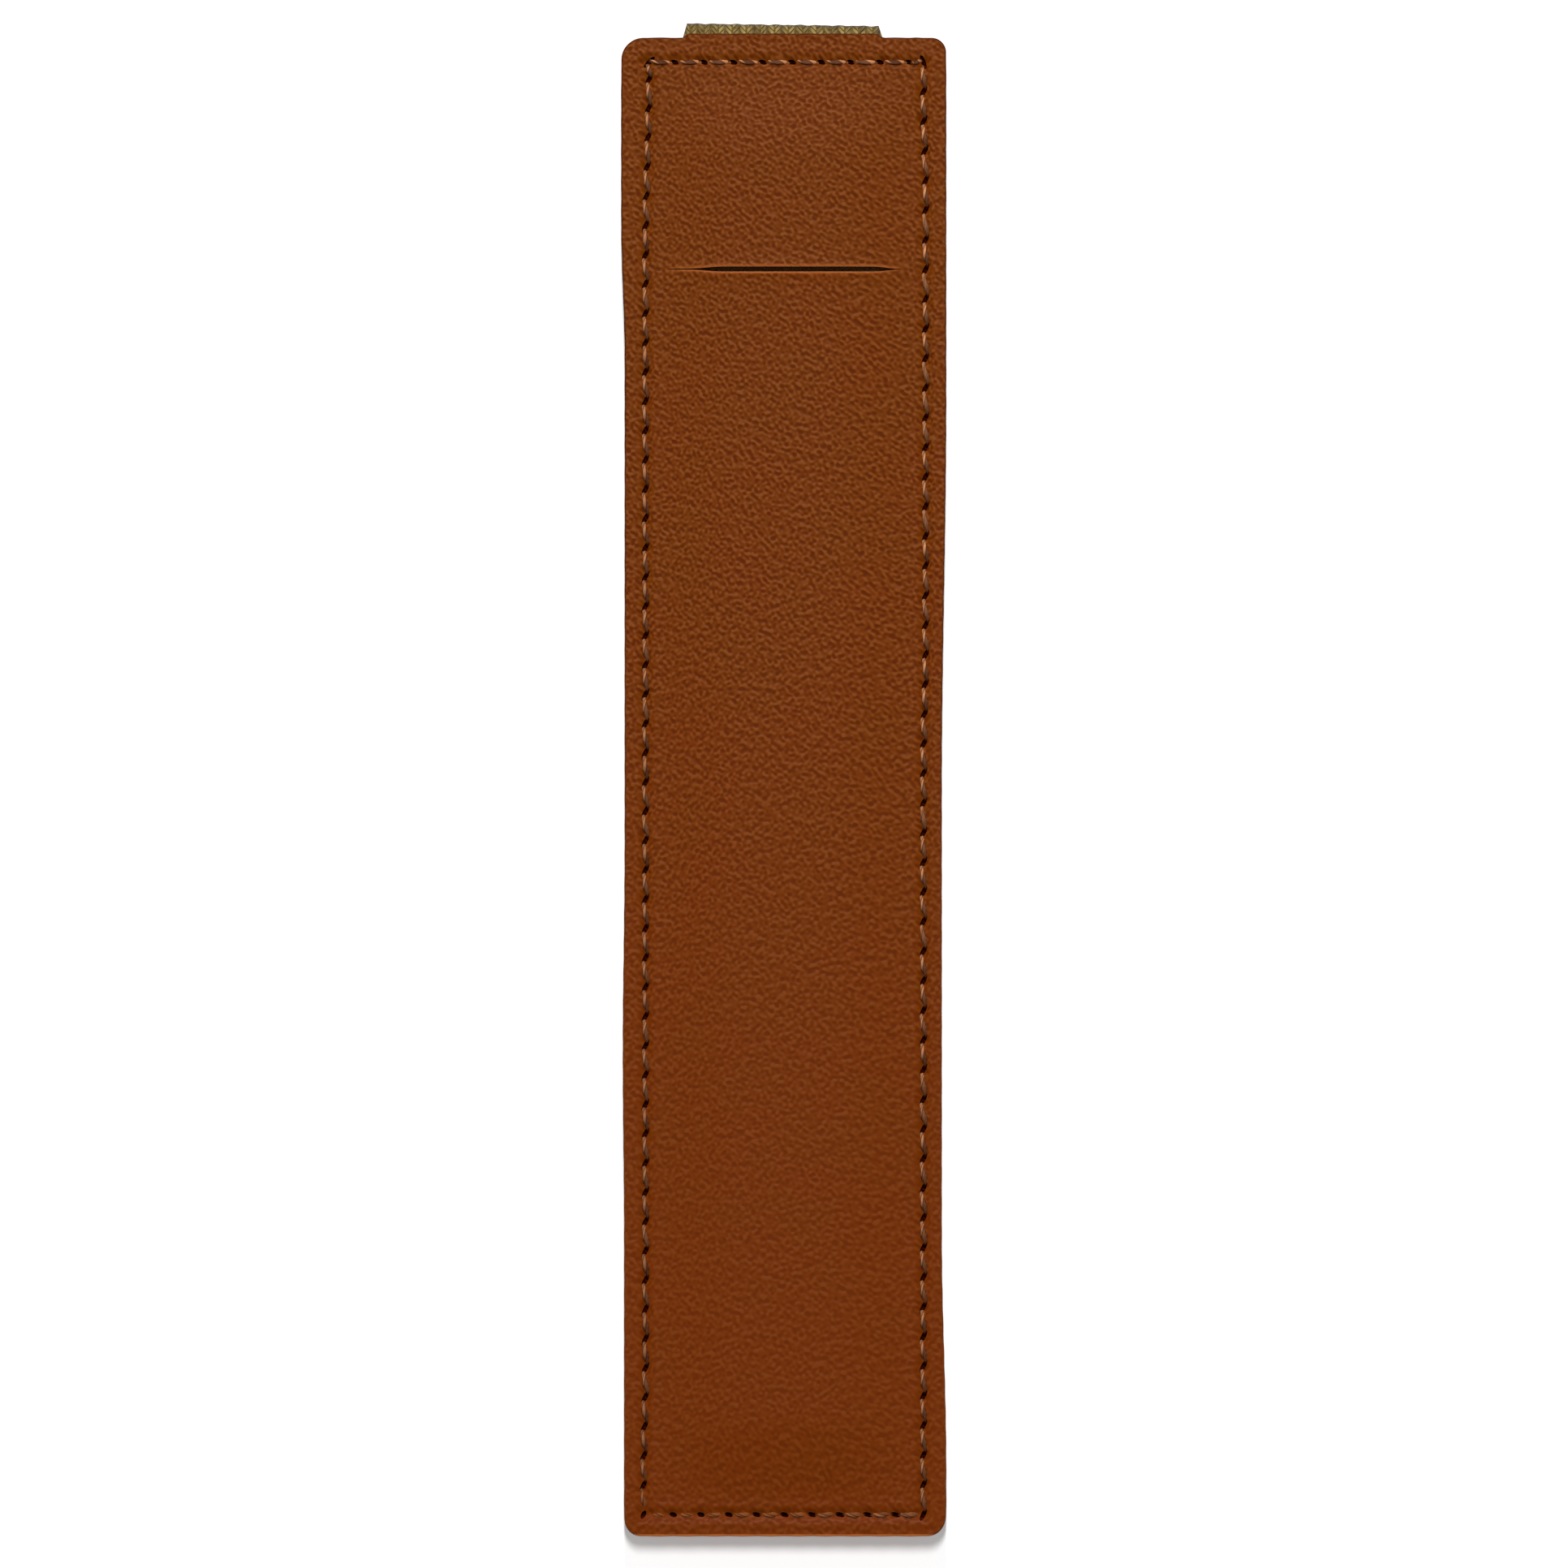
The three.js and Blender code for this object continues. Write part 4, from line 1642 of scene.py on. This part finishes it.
@dataclass
class LeatherPanel:
    """One of the two leather panels, drawn in by the seam; the front one has the pocket's mouth."""

    side: Side
    sizes: SleeveSizes
    seam: Seam
    left_spread: float = 0.22 * MM
    right_spread: float = 0.08 * MM
    foot_spread: float = 0.28 * MM
    top_left: float = 2.3 * MM
    top_right: float = 1.5 * MM
    bottom_right: float = 2.0 * MM
    bottom_left: float = 1.75 * MM
    least_radius: float = 0.1 * MM
    rim: float = 0.16 * MM
    tab_hump: float = 0.42 * MM
    tab_left_from: float = 0.1 * MM
    tab_left_full: float = 0.4 * MM
    tab_right_full: float = 0.2 * MM
    tab_right_from: float = 0.5 * MM
    hump_from: float = 2.2 * MM
    hump_full: float = 0.4 * MM
    edge_ripple: float = 0.035 * MM
    ripple_from: float = 1.6 * MM
    ripple_full: float = 0.3 * MM
    crown: float = 0.8 * MM
    crown_foot: float = 0.85 * MM
    crown_slope: float = 9.45 * MM
    crown_power: float = 1.3
    sink_at_stitch: float = 0.12 * MM
    sink_at_hole: float = 0.34 * MM
    sink_width: float = 0.44 * MM
    pucker: float = 0.06 * MM
    pucker_at_stitch: float = 0.35
    pucker_from_row: float = 1.0 * MM
    pucker_width: float = 0.42 * MM
    hide_wave: float = 0.012 * MM
    mouth_from_top: float = 23.86 * MM
    mouth_half_length: float = 12.3 * MM
    mouth_half_gape: float = 0.265 * MM
    gape_reach: float = 0.8 * MM
    closed_gape: float = 0.24
    wide_mouth: tuple[float, float, float, float] = (-0.8, -0.5, 0.74, 0.96)
    gape_power: int = 16
    # Reach, strength, depth and sharpness of the painted highlight on the lips of the mouth, and its reach
    # at the foot edge.
    lip_highlight_reach: float = 0.17 * MM
    lower_lip_highlight: float = 0.5
    lip_highlight_depth: float = 0.7
    lip_highlight_power: int = 6
    foot_highlight_reach: float = 0.1 * MM
    lip_rise: float = 0.1 * MM
    lip_width: float = 0.75 * MM
    lip_round: float = 0.12 * MM
    lip_round_width: float = 0.085 * MM
    lip_power: int = 4
    lip_clear: float = 1.6 * MM
    hole_clear: float = 0.5 * MM
    hole_closed: float = 0.12 * MM
    seam_band: float = 1.1 * MM
    fine_step: float = 0.2 * MM
    coarse_step: float = 0.4 * MM
    corner_steps: int = 12

    def __post_init__(self) -> None:
        """Lay out the grid lines that do not change with the inset."""
        self.half_width = self.sizes.width / 2
        self.half_length = self.sizes.length / 2
        self.mouth_y = self.half_length - self.mouth_from_top
        self.corner_zone = max(self.top_left, self.top_right, self.bottom_right, self.bottom_left)
        band = self.seam_band
        row_x = self.sizes.row_x
        stops = [-self.half_width, -row_x - band, -row_x + band, row_x - band, row_x + band, self.half_width]
        steps = [self.fine_step, self.fine_step, self.coarse_step, self.fine_step, self.fine_step]
        lines = np.append(graded(stops, steps), self.half_width)
        self.column_shares = lines / self.sizes.width + 0.5
        self.mouth_columns = (
            int(np.argmin(np.abs(lines + self.mouth_half_length))),
            int(np.argmin(np.abs(lines - self.mouth_half_length))),
        )
        self.middle_rows, self.mouth_row = self._middle_rows(self.sizes.row_y - band)

    def _middle_rows(self, coarse_end: float) -> tuple[Grid, int | None]:
        """Lay the rows between the corner zones.

        Args:
            coarse_end: how far the coarse rows reach either way

        Returns:
            the rows, and the number of the row on the mouth's lower lip, if the panel has a mouth
        """
        straight_end = self.half_length - self.corner_zone
        if self.side is Side.BACK:
            stops = [-straight_end, -coarse_end, coarse_end, straight_end]
            rows = graded(stops, [self.fine_step, self.coarse_step, self.fine_step])
            return rows[1:], None
        below = graded(
            [-straight_end, -coarse_end, self.mouth_y - self.lip_clear],
            [self.fine_step, self.coarse_step],
        )[1:]
        above = graded(
            [self.mouth_y + self.lip_clear, coarse_end, straight_end],
            [self.coarse_step, self.fine_step],
        )
        rows = np.concatenate([below, self.mouth_y - LIP_ROWS[::-1], self.mouth_y + LIP_ROWS, above])
        lower_lip = len(below) + len(LIP_ROWS) - 1
        return rows, lower_lip + self.corner_steps + 1

    def edge(self, y: Grid, inset: float, direction: int) -> Grid:
        """Find the outline's x on one side.

        Args:
            y: places along the sleeve
            inset: how far inside the outline to stay
            direction: -1 for the left edge, 1 for the right one

        Returns:
            the x of the edge at each place
        """
        top = self.top_left if direction < 0 else self.top_right
        bottom = self.bottom_left if direction < 0 else self.bottom_right
        spread = self.left_spread if direction < 0 else self.right_spread
        bows = LEFT_BOWS if direction < 0 else RIGHT_BOWS
        straight = self.half_width + spread - inset - sum(bow.inward(y) for bow in bows)
        radius = np.maximum(np.where(y > 0, top, bottom) - inset, self.least_radius)
        into_corner = np.clip(np.abs(y) - (self.half_length - inset - radius), 0, radius)
        return direction * (straight - radius + np.sqrt(np.maximum(radius**2 - into_corner**2, 0)))

    def plan(self, inset: float) -> tuple[Grid, Grid]:
        """Lay the grid at an inset from the outline.

        Args:
            inset: how far inside the outline the grid ends

        Returns:
            the x and the y of every crossing
        """
        turn = np.linspace(0, math.pi / 2, self.corner_steps + 1)
        zone = self.half_length - self.corner_zone + (self.corner_zone - inset) * np.sin(turn)
        rows = np.concatenate([-zone[::-1], self.middle_rows, zone])[:, None]
        left = self.edge(rows, inset, -1)
        right = self.edge(rows, inset, 1)
        x = left + (right - left) * self.column_shares[None, :]
        y = np.broadcast_to(rows, x.shape).copy()
        if self.mouth_row is not None:
            y += self._mouth_shift(x, y)
        return self._worked_edges(x, y)

    def _mouth_shift(self, x: Grid, y: Grid) -> Grid:
        """Find how far the lips of the mouth and the rows beside them are pushed apart.

        Args:
            x: places across the sleeve
            y: places along the sleeve

        Returns:
            the shift along the sleeve
        """
        lip = x[self.mouth_row]
        begin, end = (lip[column] for column in self.mouth_columns)
        place = (x - (begin + end) / 2) / ((end - begin) / 2)
        direction = np.where(np.arange(len(x)) > self.mouth_row, 1.0, -1.0)[:, None]
        return direction * self._gape(place) * bell(y - self.mouth_y, self.gape_reach)

    def _worked_edges(self, x: Grid, y: Grid) -> tuple[Grid, Grid]:
        """Draw the edges in beside the holes, push them out over the elastic's tab and spread the foot.

        Args:
            x: places across the sleeve
            y: places along the sleeve

        Returns:
            the places as worked
        """

        def near(edge: float, begin: float, full: float, place: Grid) -> Grid:
            """Find how near an edge each place is, from 0 to 1."""
            return smooth_step(edge - begin, edge - full, place)

        _, at_hole = self.seam.pull(x, y)
        ripple = (self.ripple_from, self.ripple_full)
        near_side = near(self.half_width, *ripple, np.abs(x))
        near_end = near(self.half_length, *ripple, np.abs(y))
        drawn_x = x - np.sign(x) * self.edge_ripple * near_side * at_hole
        drawn_y = y - np.sign(y) * self.edge_ripple * near_end * at_hole
        on_tab = plateau(
            x,
            low=self.sizes.elastic_left - self.tab_left_from,
            low_full=self.sizes.elastic_left + self.tab_left_full,
            high_full=self.sizes.elastic_right - self.tab_right_full,
            high=self.sizes.elastic_right + self.tab_right_from,
        )
        near_top = near(self.half_length, self.hump_from, self.hump_full, y)
        near_foot = near(self.half_length, self.hump_from, self.hump_full, -y)
        return drawn_x, drawn_y + self.tab_hump * on_tab * near_top - self.foot_spread * near_foot

    def swell(self, x: Grid, y: Grid) -> Grid:
        """Find how far the empty pocket lifts the front panel; the back panel lies flat.

        Args:
            x: places across the sleeve
            y: places along the sleeve

        Returns:
            the lift
        """
        if self.side is Side.BACK:
            return np.zeros_like(x)
        foot_x = self.sizes.row_x - self.crown_foot
        foot_y = self.sizes.row_y - self.crown_foot
        across = np.clip((foot_x - np.abs(x)) / self.crown_slope, 0, 1) ** self.crown_power
        along = np.clip((foot_y - np.abs(y)) / self.crown_slope, 0, 1) ** self.crown_power
        return self.crown * np.sin(across * math.pi / 2) * np.sin(along * math.pi / 2)

    def relief(self, x: Grid, y: Grid) -> Grid:
        """Find how far the outer face stands off its even thickness.

        Args:
            x: places across the sleeve
            y: places along the sleeve

        Returns:
            the height that the seam, the mouth and the hide add or take away
        """
        distance, at_hole = self.seam.pull(x, y)
        sink = self.sink_at_stitch + (self.sink_at_hole - self.sink_at_stitch) * at_hole
        drawn_in = -sink * bell(distance, self.sink_width)
        puckered = self.pucker_at_stitch + (1 - self.pucker_at_stitch) * at_hole
        bulge = self.pucker * puckered * bell(distance - self.pucker_from_row, self.pucker_width)
        hide = self.hide_wave * sum(wave.height(x, y) for wave in HIDE_WAVES)
        return drawn_in + bulge + hide + self._lips(x, y)

    def _from_lip(self, x: Grid, y: Grid) -> tuple[Grid, Grid]:
        """Measure how near each point is to the mouth.

        Args:
            x: places across the sleeve
            y: places along the sleeve

        Returns:
            the share of the way to the mouth's end, from -1 to 1, and the distance from the nearer lip
        """
        place = np.clip(x / self.mouth_half_length, -1, 1)
        return place, np.maximum(np.abs(y - self.mouth_y) - self._gape(place), 0)

    def _lips(self, x: Grid, y: Grid) -> Grid:
        """Raise and round the lips of the mouth; there are none on the back panel.

        Args:
            x: places across the sleeve
            y: places along the sleeve

        Returns:
            the height that the lips add or take away
        """
        if self.mouth_row is None:
            return np.zeros_like(x)
        place, from_lip = self._from_lip(x, y)
        rise = self.lip_rise * bell(from_lip, self.lip_width)
        rounding = self.lip_round * bell(from_lip, self.lip_round_width)
        return (1 - place**self.lip_power) * (rise - rounding)

    def outer(self, x: Grid, y: Grid) -> Grid:
        """Find the height of the outer, grained face.

        Args:
            x: places across the sleeve
            y: places along the sleeve

        Returns:
            the height
        """
        if self.side is Side.FRONT:
            return self.sizes.front_outer + self.swell(x, y) + self.relief(x, y)
        return self.sizes.back_outer - self.relief(x, y)

    def inner(self, x: Grid, y: Grid) -> Grid:
        """Find the height of the inner, flesh face.

        Args:
            x: places across the sleeve
            y: places along the sleeve

        Returns:
            the height
        """
        if self.side is Side.FRONT:
            return self.sizes.front_inner + self.swell(x, y)
        return np.full_like(x, self.sizes.back_inner)

    def build(
        self,
        name: str,
        grained: bpy.types.Material,
        painted: bpy.types.Material,
        flesh: bpy.types.Material,
        shaded_hole: bpy.types.Material,
    ) -> bpy.types.Object:
        """Make the panel and pierce it.

        Args:
            name: the piece's name
            grained: the outer face's material
            painted: the material of the cut edges
            flesh: the inner face's material
            shaded_hole: the material inside the needle holes

        Returns:
            the panel's object
        """
        is_front = self.side is Side.FRONT
        sheet = ThinSheet(
            name=name,
            plan=self.plan,
            upper=self.outer if is_front else self.inner,
            lower=self.inner if is_front else self.outer,
            rim=self.rim,
            slit_row=self.mouth_row,
            slit_columns=self.mouth_columns,
        )
        materials = {
            SheetFace.UPPER: grained if is_front else flesh,
            SheetFace.RIM: painted,
            SheetFace.LOWER: flesh if is_front else grained,
            SheetFace.CUT: flesh,
        }
        panel = sheet.build(materials)
        # The needle holes' walls take a near-black finish: painted shade for their depth.
        self.seam.cut_holes(self.side, panel, *self._hole_span(), shaded_hole)
        # Painted highlight on the foot edge and the lips of the mouth.
        mark_points(panel.data, "edge_highlight", self._edge_highlight)
        return panel

    def _hole_span(self) -> tuple[float, float]:
        """Find how deep the needle holes go; fibres round the thread's knot close them inside.

        Returns:
            the heights that the holes run between
        """
        if self.side is Side.FRONT:
            return self.sizes.front_inner + self.hole_closed, self.sizes.front_outer + self.hole_clear
        return self.sizes.back_outer - self.hole_clear, self.sizes.back_inner - self.hole_closed

    def _edge_highlight(self, x: Grid, y: Grid, z: Grid) -> Grid:
        """Find where a painted highlight lightens the foot edge and the lips of the mouth.

        Args:
            x: places across the sleeve
            y: places along the sleeve
            z: heights

        Returns:
            the share of painted highlight at each place, from 0 to 1
        """
        foot_full = self.half_length + self.foot_spread - self.rim
        foot_edge = smooth_step(foot_full - self.foot_highlight_reach, foot_full, -y)
        if self.mouth_row is None:
            return foot_edge
        place, from_lip = self._from_lip(x, y)
        thickness = self.sizes.front_outer - self.sizes.front_inner
        on_face = z > self.inner(x, y) + self.lip_highlight_depth * thickness
        strength = np.where(y > self.mouth_y, 1.0, self.lower_lip_highlight)
        lips = on_face * strength * (1 - place**self.lip_highlight_power) * bell(from_lip, self.lip_highlight_reach)
        return np.maximum(lips, foot_edge)

    def _gape(self, place: Grid) -> Grid:
        """Find how far each lip stands off the mouth's line.

        Args:
            place: the share of the way to the mouth's end, from -1 to 1

        Returns:
            the distance
        """
        wide = plateau(place, *self.wide_mouth)
        opened = self.closed_gape + (1 - self.closed_gape) * wide
        return self.mouth_half_gape * opened * np.maximum(1 - place**self.gape_power, 0)


@dataclass
class ElasticBand:
    """The strip of woven elastic behind the back panel, in two lengths that meet at its middle."""

    sizes: SleeveSizes
    seam: Seam
    rim: float = 0.34 * MM
    flare: float = 0.34 * MM
    flare_reach: float = 4.0 * MM
    taper: float = 0.46 * MM
    shift: float = 0.14 * MM
    trim: float = -0.1 * MM
    skew: float = 0.28 * MM
    fray: float = 0.05 * MM
    coarse_fray: float = 29.0
    fine_fray: float = 47.0
    fray_phase: float = 2.0
    cut_reach: float = 0.5 * MM
    rib: float = 1.45 * MM
    rib_depth: float = 0.1 * MM
    dent_at_stitch: float = 0.3 * MM
    dent_at_hole: float = 0.5 * MM
    dent_width: float = 0.5 * MM
    # Reach of the darkening at the cut ends, which is partly painted shade, and of the darkening along the
    # selvedges.
    sealed_reach: float = 0.26 * MM
    selvedge_reach: float = 0.3 * MM
    selvedge_darkening: float = 0.6
    across_step: float = 0.25 * MM
    along_step: float = 0.6 * MM
    fine_step: float = 0.2 * MM
    fine_reach: float = 1.5 * MM

    def __post_init__(self) -> None:
        """Find the strip's middle line and half its width."""
        self.middle = (self.sizes.elastic_left + self.sizes.elastic_right) / 2
        self.half = (self.sizes.elastic_right - self.sizes.elastic_left) / 2

    def _cut(self, end: End) -> float:
        """Give the distance from the sleeve's middle to the cut at one end."""
        return self.sizes.elastic_top if end is End.MOUTH else -self.sizes.elastic_bottom

    def _rows(self, end: End, inset: float) -> Grid:
        """Lay the rows of one length, from the band's middle to its cut end.

        Args:
            end: the end of the sleeve that it runs to
            inset: how far inside the outline the rows end

        Returns:
            the rows' distances from the sleeve's middle, finer near the cut
        """
        cut = self._cut(end)
        fine_from = self.sizes.row_y - self.fine_reach
        inner = graded([0.0, fine_from, cut - self.rim], [self.along_step, self.fine_step])
        return np.concatenate([[inset - self.rim], inner[1:], [cut - inset]])

    def _trimmed(self, share: Grid) -> Grid:
        """Find how much the skewed, frayed cut takes off, by the share of the way to a selvedge."""
        fray = np.sin(self.coarse_fray * share) + np.sin(self.fine_fray * share + self.fray_phase)
        return self.trim + self.skew * (1 + share) / 2 + self.fray * fray / 2

    def _furrow(self, x: Grid) -> Grid:
        """Find how far into a furrow between two ribs each place is, from 0 to 1."""
        return (0.5 + 0.5 * np.cos(FULL_TURN * (x - self.middle) / self.rib)) ** 2

    def _lower(self, x: Grid, y: Grid) -> Grid:
        """Find the height of the face that lies away from the leather, dented by the stitches.

        Args:
            x: places across the sleeve
            y: places along the sleeve

        Returns:
            the height
        """
        distance, at_hole = self.seam.pull(x, y)
        dent = self.dent_at_stitch + (self.dent_at_hole - self.dent_at_stitch) * at_hole
        return self.rib_depth * self._furrow(x) + dent * bell(distance, self.dent_width)

    def _upper(self, x: Grid, y: Grid) -> Grid:
        """Find the height of the face against the leather."""
        return self.sizes.elastic_thickness - self.rib_depth * self._furrow(x)

    def build(self, end: End, name: str, woven: bpy.types.Material) -> bpy.types.Object:
        """Make one length of the band.

        Args:
            end: the end of the sleeve that it runs to
            name: the piece's name
            woven: the elastic's material

        Returns:
            the length's object
        """
        sizes = self.sizes
        inner_lines = graded([sizes.elastic_left, sizes.elastic_right], [self.across_step])
        shares = (np.append(inner_lines, sizes.elastic_right) - self.middle) / self.half

        def plan(inset: float) -> tuple[Grid, Grid]:
            """Lay the grid at an inset from the strip's outline, flared and tapered at the tab.

            Args:
                inset: how far inside the outline the grid ends

            Returns:
                the x and the y of every crossing
            """
            out = self._rows(end, inset)
            half_length = sizes.length / 2
            towards_cut = smooth_step(half_length - self.cut_reach, sizes.elastic_top, out)
            pressed = smooth_step(half_length - self.flare_reach, half_length, out)
            drawn_in = np.clip((out - half_length) / (sizes.elastic_top - half_length), 0, 1)
            reach = self.half - inset + self.flare * pressed - self.taper * drawn_in
            x = self.middle + self.shift * pressed[:, None] + reach[:, None] * shares[None, :]
            y = end.value * (out[:, None] - self._trimmed(shares[None, :]) * towards_cut[:, None])
            return (x, y) if end is End.MOUTH else (x[::-1], y[::-1])

        def sealed_and_darkened(x: Grid, y: Grid, z: Grid) -> Grid:
            """Find how far heat sealing and painted shade on the cut edge darken the cut end, and how far
            the selvedges are darker.

            Args:
                x: places across the sleeve
                y: places along the sleeve
                z: heights, not used

            Returns:
                the share of sealing and darkening at each place, from 0 to 1
            """
            trimmed = self._trimmed((x - self.middle) / self.half)
            at_cut = bell(self._cut(end) - end.value * y - trimmed, self.sealed_reach)
            from_selvedge = np.abs(x - self.middle) - self.half
            return np.maximum(at_cut, self.selvedge_darkening * bell(from_selvedge, self.selvedge_reach))

        sheet = ThinSheet(name=name, plan=plan, upper=self._upper, lower=self._lower, rim=self.rim)
        strip = sheet.build({kind: woven for kind in SheetFace})
        # Darker at the cut ends, partly from heat sealing and partly painted shade on the cut edge, and
        # along the selvedges.
        mark_points(strip.data, "sealed_and_darkened", sealed_and_darkened)
        # Marks the furrows between the ribs, which the material darkens with painted shade.
        mark_points(strip.data, "furrow", lambda x, y, z: self._furrow(x))
        return strip


@dataclass(frozen=True)
class Lamp:
    """A soft lamp beyond the mouth end, narrow across the sleeve and longer along it."""

    name: str
    elevation: float
    length: float
    power: float
    width: float = 0.075
    distance: float = 1.5

    def build(self) -> None:
        """Hang the lamp, aimed at the origin."""
        light = bpy.data.lights.new(self.name, "AREA")
        light.shape = "ELLIPSE"
        light.size = self.width
        light.size_y = self.length
        light.energy = self.power
        lamp = place_in_scene(self.name, light)
        out = self.distance * math.cos(self.elevation)
        up = self.distance * math.sin(self.elevation)
        lamp.location = (0.0, out, up)
        lamp.rotation_euler = (self.elevation - math.pi / 2, 0.0, 0.0)


KEY_LAMP = Lamp("key_lamp", elevation=math.radians(69), length=0.48, power=16.0)
RAKING_LAMP = Lamp("raking_lamp", elevation=math.radians(28), length=0.18, power=8.5)


@dataclass
class Studio:
    """The plain white floor, the soft lamps and the camera straight above the sleeve."""

    sizes: SleeveSizes
    frame_width: float = 161.35 * MM
    aim_x: float = -0.04 * MM
    aim_y: float = 0.17 * MM
    camera_distance: float = 1.5
    sensor: float = 36.0
    lamps: tuple[Lamp, ...] = (KEY_LAMP, RAKING_LAMP)
    room_light: float = 0.17
    floor_half: float = 1.5

    def build(self, floor_finish: FloorFinish) -> None:
        """Set up the floor, the light and the camera.

        Args:
            floor_finish: the floor's finish
        """
        self._floor(floor_finish.material())
        self._room()
        for lamp in self.lamps:
            lamp.build()
        self._camera()
        bpy.context.scene.view_settings.view_transform = "Standard"

    def _floor(self, material: bpy.types.Material) -> None:
        """Lay the floor under the elastic.

        Args:
            material: the floor's material
        """
        half = self.floor_half
        mesh = bpy.data.meshes.new("floor")
        corners = [(-half, -half, 0.0), (half, -half, 0.0), (half, half, 0.0), (-half, half, 0.0)]
        mesh.from_pydata(corners, [], [(0, 1, 2, 3)])
        mesh.materials.append(material)
        floor = place_in_scene("floor", mesh)

    def _room(self) -> None:
        """Fill the room with even white light, seen as white by the camera."""
        world = bpy.data.worlds.new("room")
        world.use_nodes = True
        bench = NodeBench(world.node_tree)
        seen = bench.add("ShaderNodeLightPath").outputs["Is Camera Ray"]
        strength = bench.math("MAXIMUM", seen, self.room_light)
        glow = bench.add("ShaderNodeBackground", {"Color": WHITE, "Strength": strength})
        bench.add("ShaderNodeOutputWorld", {"Surface": glow.outputs[0]})
        bpy.context.scene.world = world

    def _camera(self) -> None:
        """Look straight down on the front panel."""
        camera = bpy.data.cameras.new("camera")
        camera.sensor_fit = "HORIZONTAL"
        camera.sensor_width = self.sensor
        camera.lens = self.sensor * self.camera_distance / self.frame_width
        viewer = place_in_scene("camera", camera)
        viewer.location = (self.aim_x, self.aim_y, self.sizes.front_outer + self.camera_distance)
        bpy.context.scene.camera = viewer


def report(piece: bpy.types.Object) -> None:
    """Log a finished piece."""
    LOG.info("%s: %d points, %d faces", piece.name, len(piece.data.vertices), len(piece.data.polygons))


def main() -> None:
    """Build the leather, the seam, the elastic and the studio, in that order."""
    logging.basicConfig(level=logging.INFO, format="%(message)s")
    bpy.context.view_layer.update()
    sizes = SleeveSizes.from_frame()
    patterns = PatternBook()
    finishes = (GRAINED_LEATHER, EDGE_LEATHER, FLESH_LEATHER, SHADED_HOLE_LEATHER)
    leathers = [finish.material(patterns, sizes.length / 2) for finish in finishes]
    thread = ThreadFinish().material(patterns, sizes.row_x, sizes.row_y)
    seam = Seam(sizes)
    band = ElasticBand(sizes, seam)
    woven = ElasticFinish().material(patterns, band.rib, band.middle)

    front = LeatherPanel(Side.FRONT, sizes, seam).build("front_leather", *leathers)
    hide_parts("front_panel")
    back = LeatherPanel(Side.BACK, sizes, seam).build("back_leather", *leathers)
    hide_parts("back_panel")
    for panel in (front, back):
        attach(panel, "sleeve")

    front_stitches = seam.build_stitches(Side.FRONT, "front_stitches", thread)
    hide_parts("needle_thread")
    back_stitches = seam.build_stitches(Side.BACK, "back_stitches", thread)
    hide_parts("bobbin_thread")
    for stitches in (front_stitches, back_stitches):
        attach(stitches, "sleeve")

    upper = band.build(End.MOUTH, "elastic_upper_half", woven)
    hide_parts("elastic_top_end", "elastic_upper_leg", "elastic_run")
    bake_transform(upper)
    lower = band.build(End.FOOT, "elastic_lower_half", woven)
    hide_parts("elastic_lower_leg", "elastic_bottom_end")
    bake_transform(lower)

    for piece in (front, back, front_stitches, back_stitches, upper, lower):
        report(piece)
    Studio(sizes).build(FloorFinish())
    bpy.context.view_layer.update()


if __name__ == "__main__":
    main()
